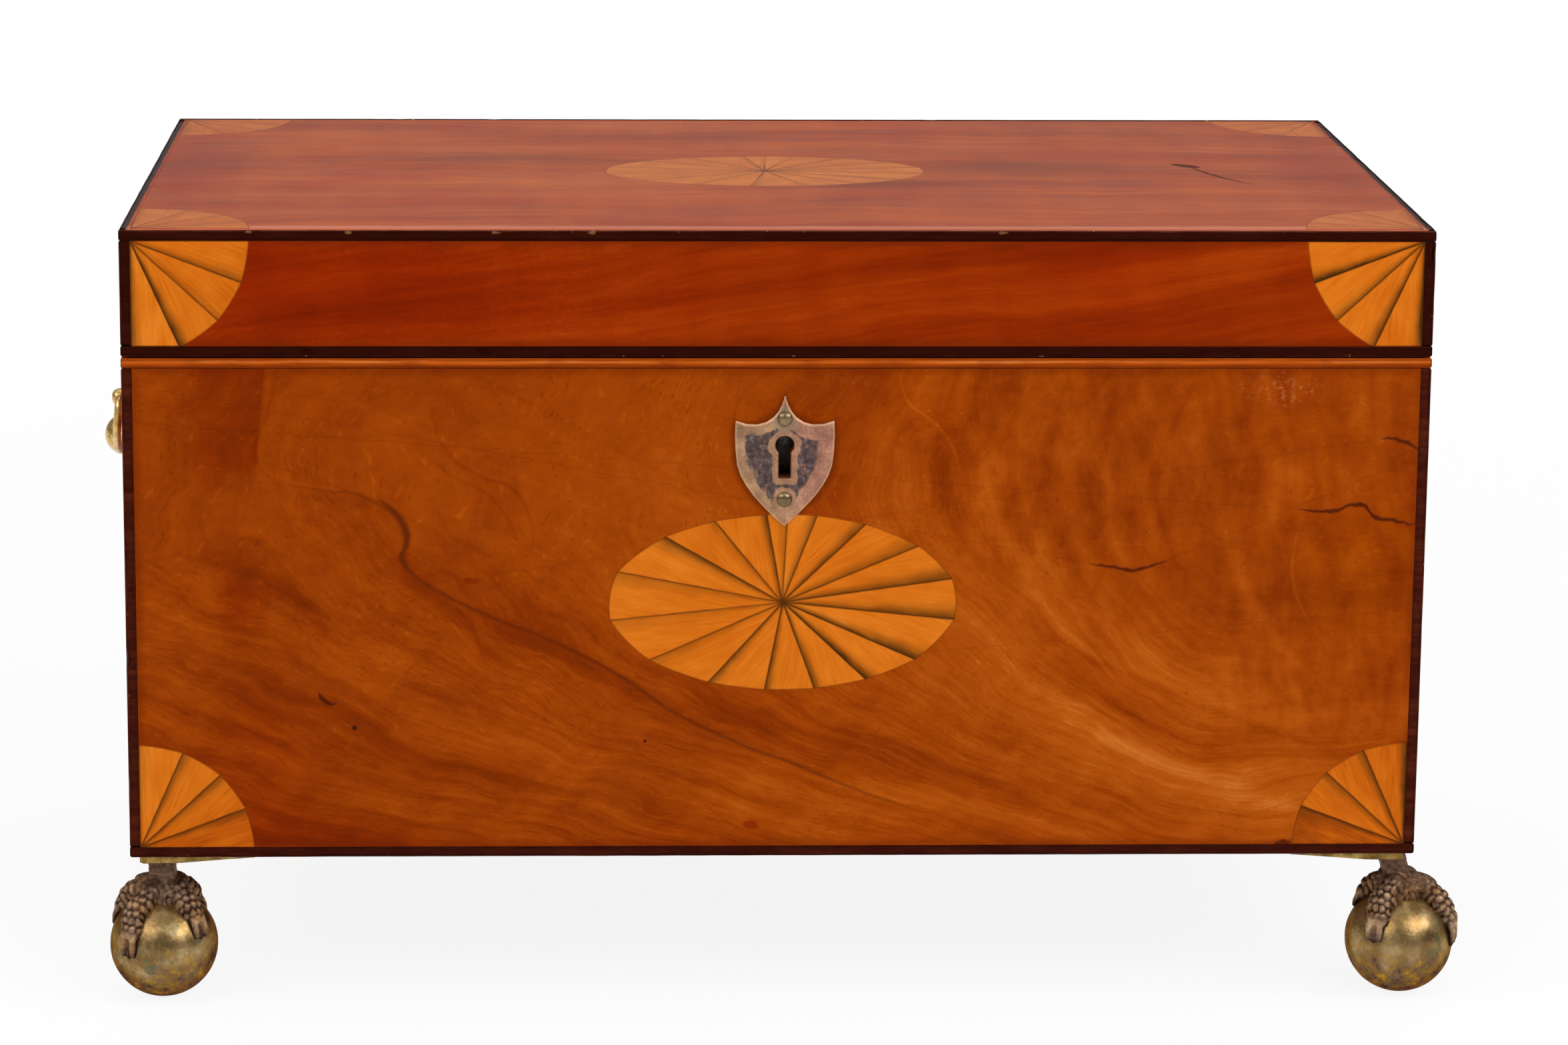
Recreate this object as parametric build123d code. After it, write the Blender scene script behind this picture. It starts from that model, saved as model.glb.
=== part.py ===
from build123d import *
import os
from math import atan2, cos, radians, sin, tan

# Antique tea caddy: a veneered box with a hinged lid on four brass claw-and-ball feet.
# Millimetres. The front faces -Y, +Z is up, and the origin is on the floor under the centre of the box.

# Box
box_width = 300.0
box_depth = 172.0
case_height = 118.5
lid_height = 29.3
joint_gap = 0.3
foot_height = 36.0

# Boards, veneers and the square stringing along every arris
wall_board = 9.0
bottom_thickness = 8.0
lid_board_thickness = 7.0
veneer = 1.0
edging = 2.5
rim_line_height = 2.4

# Inlaid quarter fans and oval paterae, cut into blades that meet at one point
fan_cuts = (0, 21, 43, 66, 90)
blade_bulge = 0.6
case_fan_width = 26.5
case_fan_height = 24.7
lid_fan_radius = 27.0
patera_cuts = (8, 23, 44, 69, 87, 100, 129, 150, 169, 186, 204, 228, 259, 290, 316.5, 336, 354)
front_patera_width = 81.4
front_patera_height = 42.0
front_patera_x = 1.3
front_patera_rise = 61.0
lid_patera_width = 79.0
lid_patera_height = 46.0

# Shield escutcheon, its two pins and the keyhole
lock_x = 1.5
keyhole_drop = 20.3
keyhole_radius = 2.2
keyhole_slot_width = 2.8
keyhole_slot_drop = 7.7
shield_thickness = 0.8
shield_half_width = 11.4
shield_shoulder_rise = 5.8
shield_tip_rise = 11.8
shield_waist_drop = 1.2
shield_point_drop = 19.0
shield_pin_rise = 6.3
shield_pin_drop = 12.6
shield_pin_head_radius = 1.75
shield_pin_head_height = 1.0
shield_pin_radius = 0.6
shield_pin_depth = 2.5

# Box lock let into the front board, and the link plate with two loops in the lid
lock_width = 44.0
lock_height = 31.2
lock_depth = 6.0
lock_plate_thickness = 1.2
lock_plate_margin = 4.0
lock_sheet = 0.9
key_pin_radius = 1.1
loop_spacing = 24.0
loop_thickness = 3.0
loop_width = 3.2
loop_drop = 8.0
loop_eye_width = 1.8
loop_eye_height = 3.6
loop_eye_lift = 1.0
loop_clearance = 0.5
link_plate_length = 40.0
link_plate_width = 5.0
bolt_throw = 4.0
bolt_bar_height = 3.6
bolt_bar_drop = 8.4
bolt_clearance = 0.25
bolt_stem_width = 2.5
bolt_notch_width = 4.0
bolt_ledge_length = 5.0

# Butt hinges, with a bevel along the back that stops the lid just past upright
hinge_spacing = 200.0
hinge_length = 30.0
hinge_inset = 3.0
hinge_screw_spacing = 10.0
hinge_screw_inset = 2.4
leaf_thickness = 1.0
knuckle_radius = 2.2
knuckle_count = 5
knuckle_clearance = 0.3
knuckle_gap = 0.2
hinge_pin_radius = 0.9
pin_clearance = 0.05
bevel_angle = 48.0

# Countersunk screws
screw_head_radius = 1.6
screw_shank_radius = 0.9
screw_length = 7.0
lock_screw_length = 6.0
screw_slot_width = 0.4
screw_slot_depth = 0.4

# Two tea wells with lids, and a middle well with a mixing bowl
middle_well_width = 90.0
partition_thickness = 5.0
inner_level_drop = 5.0
inner_lid_thickness = 4.0
inner_lid_clearance = 0.4
inner_lid_chamfer = 1.0
support_width = 5.0
support_height = 6.0
seat_gap = 0.1
lining_thickness = 0.6
knob_height = 12.0
knob_radius = 6.0
knob_neck_radius = 2.6
knob_spigot_radius = 1.6
bowl_rim_radius = 39.5
bowl_body_radius = 35.8
bowl_foot_radius = 16.0
bowl_height = 62.0
bowl_wall = 2.4
bowl_rim_thickness = 2.2
bowl_hole_clearance = 0.6

# Cloth lining under the lid board
baize_thickness = 1.2
baize_margin = 1.0

# Side handles: a post and rosette at each end of a hanging bail with a turned knop
handle_post_spacing = 50.0
handle_drop = 21.8
handle_pivot_out = 6.0
handle_post_radius = 1.5
handle_ball_radius = 2.1
handle_tenon_depth = 6.0
rosette_radius = 6.5
rosette_thickness = 1.6
rosette_edge = 0.7
bail_rod_radius = 1.0
bail_pivot_clearance = 0.06
bail_shoulder = 4.2
bail_hang = 14.5
bail_lean_out = 1.3
bail_corner_radius = 3.0
bail_flat_half_length = 17.0
knop_radius = 5.15
knop_half_length = 6.5
knop_end_radius = 1.6

# Claw-and-ball feet
ball_radius = 12.7
ball_centre_height = 12.5
ball_setback = 9.0
ball_seat_clearance = 0.05
ball_stud_radius = 2.0
ball_stud_height = 3.0
left_ball_inset = 6.8
right_ball_inset = 1.3
left_neck_inset = 6.7
right_neck_inset = 4.0
left_toe_azimuths = (50, 160, 240, 320)
right_toe_azimuths = (60, 150, 240, 340)
neck_top_width = 6.4
neck_foot_width = 8.5
palm_radius = 6.6
palm_sink = 2.2
toe_lift = 0.1
knuckle_polars = (24, 48, 70)
toe_knuckle_radii = (2.9, 2.7, 2.3)
bone_top_radius = 2.2
bone_foot_radius = 1.9
talon_polar = 94
talon_root_radius = 1.8
talon_tip_radius = 0.4
foot_plate_thickness = 2.8
foot_plate_inset = 2.0
foot_plate_arm = 27.0
foot_plate_tip_width = 3.6
foot_plate_waist = 10.0
foot_screw_distance = 21.0
foot_screw_inset = 2.6

# How far a cutting tool runs past the face that it cuts through, and a full turn in degrees
spare = 1.0
full_turn = 360

# Levels and planes that follow from the sizes above
case_bottom = foot_height
rim = case_bottom + case_height
joint_middle = rim + joint_gap / 2
lid_bottom = rim + joint_gap
lid_top = lid_bottom + lid_height
half_width = box_width / 2
back = box_depth / 2
front = -back
wall = wall_board + veneer
inner_half_width = half_width - wall
inner_half_depth = back - wall
core_half_width = half_width - veneer
core_half_depth = back - veneer
case_floor = case_bottom + bottom_thickness
veneer_low = case_bottom + edging
veneer_high = rim - rim_line_height
lid_veneer_low = lid_bottom + edging
lid_veneer_high = lid_top - edging
lid_core_top = lid_top - veneer
lid_ceiling = lid_core_top - lid_board_thickness
panel_half_width = half_width - edging
panel_half_depth = back - edging
hinge_y = back - hinge_inset
lock_back = -inner_half_depth
lock_front = lock_back - lock_depth
keyhole_z = rim - keyhole_drop
inner_level = rim - inner_level_drop
support_top = inner_level - inner_lid_thickness
partition_face = middle_well_width / 2
well_face = partition_face + partition_thickness
ball_y = back - ball_setback

front_face = Plane(origin=(0, front, 0), x_dir=(1, 0, 0), z_dir=(0, -1, 0))
top_face = Plane(origin=(0, 0, lid_top), x_dir=(1, 0, 0), z_dir=(0, 0, 1))

nodes = {}


def keep(name, solids):
    """Store a node: one solid, or a list of separate solids."""
    if isinstance(solids, (list, tuple)):
        separate = [solid for item in solids for solid in item.solids()]
        nodes[name] = Compound(children=separate)
    else:
        nodes[name] = solids


def block(x_range, y_range, z_range):
    """Box between the low and the high value given for each axis."""
    ranges = (x_range, y_range, z_range)
    size = [high - low for low, high in ranges]
    low_corner = [low for low, high in ranges]
    return Pos(*low_corner) * Box(*size, align=(Align.MIN, Align.MIN, Align.MIN))


def turned(points):
    """Solid of revolution about Z from an outline of (radius, height) points."""
    return revolve(Plane.XZ * make_face(Polyline(*points, close=True)), Axis.Z)


def rod_along_x(radius, length, x, y, z):
    """Round rod centred on a point, lying along X."""
    return Pos(x, y, z) * Rot(0, 90, 0) * Cylinder(radius, length)


def rod_along_y(radius, length, x, y, z):
    """Round rod centred on a point, lying along Y."""
    return Pos(x, y, z) * Rot(90, 0, 0) * Cylinder(radius, length)


# Screws

def screw_blank(length):
    """Countersunk screw without its slot, the head flush at z = 0 and the point down."""
    taper = screw_head_radius - screw_shank_radius
    return turned([
        (0, 0),
        (screw_head_radius, 0),
        (screw_shank_radius, -taper),
        (screw_shank_radius, screw_shank_radius - length),
        (0, -length),
    ])


def screws_at(places, length, turn):
    """Slotted screws at each place, and the blanks that cut their holes."""
    blank = screw_blank(length)
    slot = Box(2 * screw_head_radius + spare, screw_slot_width, 2 * screw_slot_depth)
    slotted = blank - slot
    blanks = [Pos(*place) * Rot(*turn) * blank for place in places]
    screws = [Pos(*place) * Rot(*turn) * slotted for place in places]
    return screws, blanks


# Stringing

def ring_of_strips(z_low, z_high, with_back):
    """Edging strips laid round the box between two heights, the front one running the full width."""
    side_end = back - edging if with_back else back
    strips = [block((-half_width, half_width), (front, front + edging), (z_low, z_high))]
    if with_back:
        strips.append(block((-half_width, half_width), (back - edging, back), (z_low, z_high)))
    for x_low in (-half_width, half_width - edging):
        strips.append(block((x_low, x_low + edging), (front + edging, side_end), (z_low, z_high)))
    return strips


def corner_strips(z_low, z_high):
    """Upright edging strips at the four corners."""
    return [
        block((x_low, x_low + edging), (y_low, y_low + edging), (z_low, z_high))
        for x_low in (-half_width, half_width - edging)
        for y_low in (front, back - edging)
    ]


def stop_bevel(direction):
    """Wedge cleared along the back of the joint: direction -1 cuts the case, 1 cuts the lid."""
    reach = hinge_inset + spare
    rise = direction * reach * tan(radians(bevel_angle))
    outline = Polyline(
        (hinge_y, joint_middle),
        (hinge_y + reach, joint_middle),
        (hinge_y + reach, joint_middle + rise),
        close=True,
    )
    wedge_start = Plane.YZ.offset(-half_width - spare)
    return extrude(wedge_start * make_face(outline), amount=box_width + 2 * spare, dir=(1, 0, 0))


# Inlays

def oval_point(half_long, half_short, angle):
    """Point of an oval in the direction of an angle in degrees."""
    turn = atan2(sin(radians(angle)) / half_short, cos(radians(angle)) / half_long)
    return Vector(half_long * cos(turn), half_short * sin(turn))


def inlay_blades(centre, half_long, half_short, cuts, flip_x=1, flip_y=1):
    """Blades of a fan or patera, one between each pair of cuts, as thick as the veneer."""
    apex = Vector(*centre)
    blades = []
    for start, end in zip(cuts, cuts[1:]):
        first = oval_point(half_long, half_short, start)
        last = oval_point(half_long, half_short, end)
        crown = oval_point(half_long, half_short, (start + end) / 2)
        middle = (first + last) * (0.5 * (1 - blade_bulge)) + crown * blade_bulge
        first, middle, last = [
            apex + Vector(point.X * flip_x, point.Y * flip_y) for point in (first, middle, last)
        ]
        outline = [Line(apex, first), ThreePointArc(first, middle, last), Line(last, apex)]
        blades.append(extrude(make_face(outline), amount=veneer, dir=(0, 0, -1)))
    return blades


def patera(centre, width, height):
    """Oval of blades all the way round."""
    closed_cuts = patera_cuts + (patera_cuts[0] + full_turn,)
    return inlay_blades(centre, width / 2, height / 2, closed_cuts)


def trimmed(blades, window):
    """Blades cut off where they leave a rectangular window of the panel."""
    low_x, high_x, low_y, high_y = window
    panel = block((low_x, high_x), (low_y, high_y), (-veneer, 0))
    return [blade & panel for blade in blades]


front_patera_z = case_bottom + front_patera_rise
front_patera = [
    front_face * blade
    for blade in patera((front_patera_x, front_patera_z), front_patera_width, front_patera_height)
]
front_fans = [
    front_face * blade
    for side in (-1, 1)
    for blade in inlay_blades(
        (side * panel_half_width, veneer_low), case_fan_width, case_fan_height, fan_cuts, flip_x=-side)
]
lid_window = (-panel_half_width, panel_half_width, lid_veneer_low, lid_veneer_high)
lid_front_fans = [
    front_face * blade
    for side in (-1, 1)
    for blade in trimmed(
        inlay_blades(
            (side * panel_half_width, lid_veneer_high), lid_fan_radius, lid_fan_radius, fan_cuts,
            flip_x=-side, flip_y=-1),
        lid_window)
]
lid_top_fans = [
    top_face * blade
    for side in (-1, 1)
    for end in (-1, 1)
    for blade in inlay_blades(
        (side * panel_half_width, end * panel_half_depth), lid_fan_radius, lid_fan_radius, fan_cuts,
        flip_x=-side, flip_y=-end)
]
lid_patera = [top_face * blade for blade in patera((0, 0), lid_patera_width, lid_patera_height)]

keep("front_patera", front_patera)
keep("front_fans", front_fans)
keep("lid_front_fans", lid_front_fans)
keep("lid_top_fans", lid_top_fans)
keep("lid_patera", lid_patera)


# Keyhole, escutcheon and pins

def keyhole(y_low, y_high):
    """Keyhole prism between two depths: a round eye over a narrow slot."""
    eye = rod_along_y(keyhole_radius, y_high - y_low, lock_x, (y_low + y_high) / 2, keyhole_z)
    half_slot = keyhole_slot_width / 2
    slot = block(
        (lock_x - half_slot, lock_x + half_slot),
        (y_low, y_high),
        (keyhole_z - keyhole_slot_drop, keyhole_z),
    )
    return eye + slot


def shield_outline():
    """Shield: a pointed crest between hollow shoulders, and sides that curve to a point."""
    tip = Vector(0, shield_tip_rise)
    point = Vector(0, -shield_point_drop)
    edges = []
    for side in (-1, 1):
        shoulder = Vector(side * shield_half_width, shield_shoulder_rise)
        waist = Vector(side * shield_half_width, -shield_waist_drop)
        hollow = Vector(side * shield_half_width * 0.3, shield_shoulder_rise + 0.9)
        belly = Vector(side * shield_half_width * 0.74, -shield_point_drop * 0.52)
        edges.append(ThreePointArc(tip, hollow, shoulder))
        edges.append(Line(shoulder, waist))
        edges.append(ThreePointArc(waist, belly, point))
    return make_face(edges)


shield_pins = []
shield_pin_holes = []
for pin_z in (keyhole_z + shield_pin_rise, keyhole_z - shield_pin_drop):
    stem_length = shield_thickness + shield_pin_depth
    stem = rod_along_y(
        shield_pin_radius, stem_length, lock_x, front - shield_thickness + stem_length / 2, pin_z)
    sphere_radius = (shield_pin_head_radius**2 + shield_pin_head_height**2) / (2 * shield_pin_head_height)
    dome_centre = front - shield_thickness - shield_pin_head_height + sphere_radius
    dome = Pos(lock_x, dome_centre, pin_z) * Sphere(sphere_radius)
    reach = 2 * sphere_radius
    dome -= block(
        (lock_x - reach, lock_x + reach),
        (front - shield_thickness, front + reach),
        (pin_z - reach, pin_z + reach),
    )
    shield_pins.append(dome + stem)
    shield_pin_holes.append(stem)

front_cut = keyhole(front - spare, lock_back)
shield_place = front_face * Pos(lock_x, keyhole_z, 0)
escutcheon = extrude(shield_place * shield_outline(), amount=shield_thickness, dir=(0, -1, 0))
escutcheon = escutcheon - [front_cut] - shield_pin_holes
keep("escutcheon", escutcheon)
keep("escutcheon_pins", shield_pins)


# Lock

lock_x_range = (lock_x - lock_width / 2, lock_x + lock_width / 2)
plate_x_range = (lock_x_range[0] - lock_plate_margin, lock_x_range[1] + lock_plate_margin)
lock_low = rim - lock_height
plate_low = lock_low - lock_plate_thickness
plate_inner = lock_back - lock_plate_thickness
tray_inner_y = (lock_front + lock_sheet, plate_inner)
tray_middle_y = sum(tray_inner_y) / 2
loop_places = (lock_x - loop_spacing / 2, lock_x + loop_spacing / 2)
loop_low = lid_bottom - loop_drop
bolt_top = rim - bolt_bar_drop
bolt_low = bolt_top - bolt_bar_height


def lock_tray():
    """Tray of the lock, open to the back, with two ledges that carry the bolt."""
    tray_z = (lock_low, rim - lock_plate_thickness)
    outer = block(lock_x_range, (lock_front, plate_inner), tray_z)
    hollow = block(
        (lock_x_range[0] + lock_sheet, lock_x_range[1] - lock_sheet),
        tray_inner_y,
        (tray_z[0] + lock_sheet, tray_z[1]),
    )
    tray = outer - hollow
    ledge_top = bolt_low - bolt_clearance
    for ledge_x in (lock_x_range[0] + lock_sheet, lock_x_range[1] - lock_sheet - bolt_ledge_length):
        ledge_x_range = (ledge_x, ledge_x + bolt_ledge_length)
        ledge_y_range = (tray_inner_y[0], tray_middle_y)
        tray += block(ledge_x_range, ledge_y_range, (ledge_top - lock_sheet, ledge_top))
    return tray - keyhole(lock_front - spare, tray_middle_y)


def lock_plate():
    """Back plate and top plate in one, with the two slots for the loops and the pin for the key."""
    back_plate = block(plate_x_range, (plate_inner, lock_back), (plate_low, rim))
    top_plate = block(lock_x_range, (lock_front, lock_back), (rim - lock_plate_thickness, rim))
    key_pin_length = plate_inner - tray_inner_y[0]
    key_pin = rod_along_y(key_pin_radius, key_pin_length, lock_x, tray_middle_y, keyhole_z)
    plate = back_plate + top_plate + key_pin
    half_slot_x = loop_thickness / 2 + loop_clearance
    half_slot_y = loop_width / 2 + loop_clearance
    for loop_x in loop_places:
        plate -= block(
            (loop_x - half_slot_x, loop_x + half_slot_x),
            (tray_middle_y - half_slot_y, min(tray_middle_y + half_slot_y, plate_inner)),
            (rim - lock_plate_thickness - spare, rim + spare),
        )
    return plate


def lock_bolt():
    """Sliding bar with two hooked tongues, drawn back so that the lid is free, with room to be thrown."""
    half_bar = (tray_inner_y[1] - tray_inner_y[0]) / 2 - bolt_clearance
    half_tongue = loop_eye_width / 2 - bolt_clearance
    bar_y = (tray_middle_y - half_bar, tray_middle_y + half_bar)
    tongue_y = (tray_middle_y - half_tongue, tray_middle_y + half_tongue)
    eye_low = loop_low + loop_eye_lift
    tongue_z = (eye_low + bolt_clearance, eye_low + loop_eye_height - bolt_clearance)
    tongue_length = bolt_stem_width + bolt_throw
    stem_starts = [place - loop_thickness / 2 - bolt_clearance - tongue_length for place in loop_places]
    bolt = block((stem_starts[0], loop_places[1]), bar_y, (bolt_low, bolt_top))
    for start in stem_starts:
        bolt += block((start, start + bolt_stem_width), tongue_y, (bolt_top - spare, tongue_z[1]))
        bolt += block((start, start + tongue_length), tongue_y, tongue_z)
    half_notch = bolt_notch_width / 2
    return bolt - block((lock_x - half_notch, lock_x + half_notch), bar_y, (bolt_low, bolt_low + spare))


def link_plate():
    """Plate in the lid with two loops that drop into the lock."""
    half_length = link_plate_length / 2
    half_width = link_plate_width / 2
    plate = block(
        (lock_x - half_length, lock_x + half_length),
        (tray_middle_y - half_width, tray_middle_y + half_width),
        (lid_bottom, lid_bottom + lock_plate_thickness),
    )
    for loop_x in loop_places:
        loop_x_range = (loop_x - loop_thickness / 2, loop_x + loop_thickness / 2)
        loop_y_range = (tray_middle_y - loop_width / 2, tray_middle_y + loop_width / 2)
        eye_y_range = (tray_middle_y - loop_eye_width / 2, tray_middle_y + loop_eye_width / 2)
        eye_low = loop_low + loop_eye_lift
        plate += block(loop_x_range, loop_y_range, (loop_low, lid_bottom + lock_plate_thickness))
        plate -= block(loop_x_range, eye_y_range, (eye_low, eye_low + loop_eye_height))
    return plate


lock_screw_places = [
    (lock_x + side * (lock_width + lock_plate_margin) / 2, lock_back, height)
    for side in (-1, 1)
    for height in (rim - lock_plate_margin, lock_low + lock_plate_margin)
]
lock_screws, lock_screw_blanks = screws_at(lock_screw_places, lock_screw_length, (-90, 0, 0))
link_screw_reach = (link_plate_length - lock_plate_margin) / 2
link_screw_places = [(lock_x + side * link_screw_reach, tray_middle_y, lid_bottom) for side in (-1, 1)]
link_screws, link_screw_blanks = screws_at(link_screw_places, screw_length, (180, 0, 0))

keep("lock_case", lock_tray())
keep("lock_plate", lock_plate() - lock_screw_blanks)
keep("lock_bolt", lock_bolt())
keep("link_plate", link_plate() - link_screw_blanks)

lock_room = [
    block(lock_x_range, (lock_front, lock_back), (lock_low, rim)),
    block(plate_x_range, (plate_inner, lock_back), (plate_low, rim)),
]
link_room = block(
    (lock_x - link_plate_length / 2, lock_x + link_plate_length / 2),
    (tray_middle_y - link_plate_width / 2, tray_middle_y + link_plate_width / 2),
    (lid_bottom, lid_bottom + lock_plate_thickness),
)


# Hinges

knuckle_pitch = hinge_length / knuckle_count
hinge_places = (-hinge_spacing / 2, hinge_spacing / 2)
case_knuckles = range(0, knuckle_count, 2)
lid_knuckles = range(1, knuckle_count, 2)
leaf_y_range = (inner_half_depth, hinge_y)


def leaf_z_range(face, direction):
    """Low and high face of a leaf that is let into the wood from the joint."""
    return tuple(sorted((face, face + direction * leaf_thickness)))


def knuckle_rods(hinge_x, indexes, radius, gap):
    """Rods that fill the given knuckle places of a hinge."""
    first = hinge_x - hinge_length / 2 + knuckle_pitch / 2
    return [
        rod_along_x(radius, knuckle_pitch - gap, first + index * knuckle_pitch, hinge_y, joint_middle)
        for index in indexes
    ]


def hinge_leaf(hinge_x, face, direction, own, others):
    """Leaf with its own knuckles, cleared round those of the other leaf and bored for the pin."""
    x_range = (hinge_x - hinge_length / 2, hinge_x + hinge_length / 2)
    leaf = block(x_range, leaf_y_range, leaf_z_range(face, direction))
    leaf -= knuckle_rods(hinge_x, others, knuckle_radius + knuckle_clearance, 0)
    leaf += knuckle_rods(hinge_x, own, knuckle_radius, knuckle_gap)
    bore = rod_along_x(hinge_pin_radius + pin_clearance, hinge_length + spare, hinge_x, hinge_y, joint_middle)
    return leaf - bore


def hinge_room(face, direction):
    """What the wood loses to the leaves and to the knuckles, on one side of the joint."""
    room = []
    for hinge_x in hinge_places:
        x_range = (hinge_x - hinge_length / 2, hinge_x + hinge_length / 2)
        room.append(block(x_range, leaf_y_range, leaf_z_range(face, direction)))
        room.append(rod_along_x(
            knuckle_radius + knuckle_clearance, hinge_length, hinge_x, hinge_y, joint_middle))
    return room


def hinge_screw_places(face):
    """Screw places on the leaves of both hinges."""
    return [
        (hinge_x + step * hinge_screw_spacing, inner_half_depth + hinge_screw_inset, face)
        for hinge_x in hinge_places
        for step in (-1, 0, 1)
    ]


case_hinge_screws, case_hinge_blanks = screws_at(hinge_screw_places(rim), screw_length, (0, 0, 0))
lid_hinge_screws, lid_hinge_blanks = screws_at(hinge_screw_places(lid_bottom), screw_length, (180, 0, 0))

keep("hinge_case_leaves", [
    hinge_leaf(hinge_x, rim, -1, case_knuckles, lid_knuckles) - case_hinge_blanks
    for hinge_x in hinge_places
])
keep("hinge_lid_leaves", [
    hinge_leaf(hinge_x, lid_bottom, 1, lid_knuckles, case_knuckles) - lid_hinge_blanks
    for hinge_x in hinge_places
])
keep("hinge_pins", [
    rod_along_x(hinge_pin_radius, hinge_length, hinge_x, hinge_y, joint_middle) for hinge_x in hinge_places
])
keep("lid_screws", lid_hinge_screws + link_screws)


# Side handles

handle_z = rim - handle_drop


def handle_frame(side):
    """Local frame of a handle: x runs along the bail's pivot, y down the hanging bail."""
    hang_direction = Vector(side * bail_lean_out, 0, -bail_hang).normalized()
    pivot = Vector(side * (half_width + handle_pivot_out), 0, handle_z)
    return Plane(origin=pivot, x_dir=(0, 1, 0), z_dir=Vector(0, 1, 0).cross(hang_direction))


def handle_post(side, end):
    """Post with a ball end, bored for the bail, and a tenon that goes into the side board."""
    y = end * handle_post_spacing / 2
    ball = Pos(side * (half_width + handle_pivot_out), y, handle_z) * Sphere(handle_ball_radius)
    length = handle_pivot_out + handle_tenon_depth
    stem = rod_along_x(
        handle_post_radius, length, side * (half_width + handle_pivot_out - length / 2), y, handle_z)
    return stem + ball


def post_bore(side, end):
    """Hole through the ball end of a post for the end of the bail."""
    y = end * handle_post_spacing / 2
    x = side * (half_width + handle_pivot_out)
    return rod_along_y(bail_rod_radius + bail_pivot_clearance, 4 * handle_ball_radius, x, y, handle_z)


def rosette(side, end):
    """Domed round plate under a post."""
    disc = turned([
        (0, 0),
        (rosette_radius, 0),
        (rosette_radius, rosette_edge),
        (rosette_radius * 0.6, rosette_thickness),
        (0, rosette_thickness),
    ])
    place = Pos(side * half_width, end * handle_post_spacing / 2, handle_z)
    return place * Rot(0, side * 90, 0) * disc


def bail(side):
    """Bail: a bent rod whose ends turn in through the posts, and a turned knop at its middle."""
    post = handle_post_spacing / 2
    outside = post + bail_shoulder
    hang = Vector(bail_lean_out, bail_hang).length
    path = FilletPolyline(
        (post - handle_ball_radius, 0),
        (outside, 0),
        (outside, hang * 0.5),
        (bail_flat_half_length, hang),
        (-bail_flat_half_length, hang),
        (-outside, hang * 0.5),
        (-outside, 0),
        (handle_ball_radius - post, 0),
        radius=bail_corner_radius,
    )
    start = Plane(origin=path @ 0, z_dir=path % 0)
    rod = sweep(start * Circle(bail_rod_radius), path=path)
    half_outline = [
        (0, knop_half_length),
        (knop_end_radius, knop_half_length),
        (knop_radius * 0.72, knop_half_length * 0.62),
        (knop_radius, 0),
    ]
    lower_outline = [(radius, -height) for radius, height in reversed(half_outline[:-1])]
    knop = Pos(0, hang, 0) * Rot(0, 90, 0) * turned(half_outline + lower_outline)
    return handle_frame(side) * (rod + knop)


sides = {"left": -1, "right": 1}
post_places = [(side, end) for side in sides.values() for end in (-1, 1)]
post_blanks = [handle_post(side, end) for side, end in post_places]
keep("handle_posts", [
    blank - post_bore(side, end) for blank, (side, end) in zip(post_blanks, post_places)
])
keep("handle_rosettes", [rosette(side, end) - post_blanks for side, end in post_places])
for name, side in sides.items():
    keep(f"{name}_bail", bail(side))


# Case

case_bevel = stop_bevel(-1)
case_strips = ring_of_strips(case_bottom, veneer_low, True) + corner_strips(veneer_low, veneer_high)
rim_strips = ring_of_strips(veneer_high, rim, False)
case_edging = [strip - case_bevel for strip in case_strips]
rim_line = [strip - case_bevel for strip in rim_strips]
keep("case_edging", case_edging)
keep("rim_line", rim_line)

foot_corners = [(x_sign, y_sign) for x_sign in (-1, 1) for y_sign in (-1, 1)]
foot_screw_low = case_bottom - foot_plate_thickness


def foot_screw_places():
    """Two screws in each foot plate, one near the end of each arm."""
    corner_x = half_width - foot_plate_inset
    corner_y = back - foot_plate_inset
    reaches = [(foot_screw_distance, foot_screw_inset), (foot_screw_inset, foot_screw_distance)]
    return [
        (x_sign * (corner_x - along), y_sign * (corner_y - across), foot_screw_low)
        for x_sign, y_sign in foot_corners
        for along, across in reaches
    ]


foot_screws, foot_screw_blanks = screws_at(foot_screw_places(), screw_length, (180, 0, 0))
keep("case_screws", case_hinge_screws + lock_screws + foot_screws)

core_x = (-core_half_width, core_half_width)
board_z = (case_floor, rim)
bottom_board = block(core_x, (-core_half_depth, core_half_depth), (case_bottom, case_floor))
front_board = block(core_x, (-core_half_depth, -inner_half_depth), board_z)
back_board = block(core_x, (inner_half_depth, core_half_depth), board_z)

keep("bottom_board", bottom_board - case_strips - foot_screw_blanks)
keep("front_board", (
    front_board - case_strips - rim_strips - lock_room - [front_cut] - lock_screw_blanks - shield_pin_holes))
keep("back_board", (
    back_board - case_strips - rim_strips - [case_bevel] - hinge_room(rim, -1) - case_hinge_blanks))

panel_x = (-panel_half_width, panel_half_width)
front_veneer = block(panel_x, (front, front + veneer), (veneer_low, veneer_high))
front_inlays = front_patera + front_fans
keep("front_veneer", front_veneer - front_inlays - [front_cut] - shield_pin_holes)
back_veneer = block(panel_x, (back - veneer, back), (veneer_low, rim))
keep("back_veneer", back_veneer - rim_strips - [case_bevel])

for name, side in sides.items():
    board_x = tuple(sorted((side * inner_half_width, side * core_half_width)))
    board = block(board_x, (-inner_half_depth, inner_half_depth), board_z)
    keep(f"{name}_board", board - rim_strips - post_blanks)
    veneer_x = tuple(sorted((side * core_half_width, side * half_width)))
    skin = block(veneer_x, (-panel_half_depth, panel_half_depth), (veneer_low, veneer_high))
    keep(f"{name}_veneer", skin - [case_bevel] - post_blanks)


# Inside of the case

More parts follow.
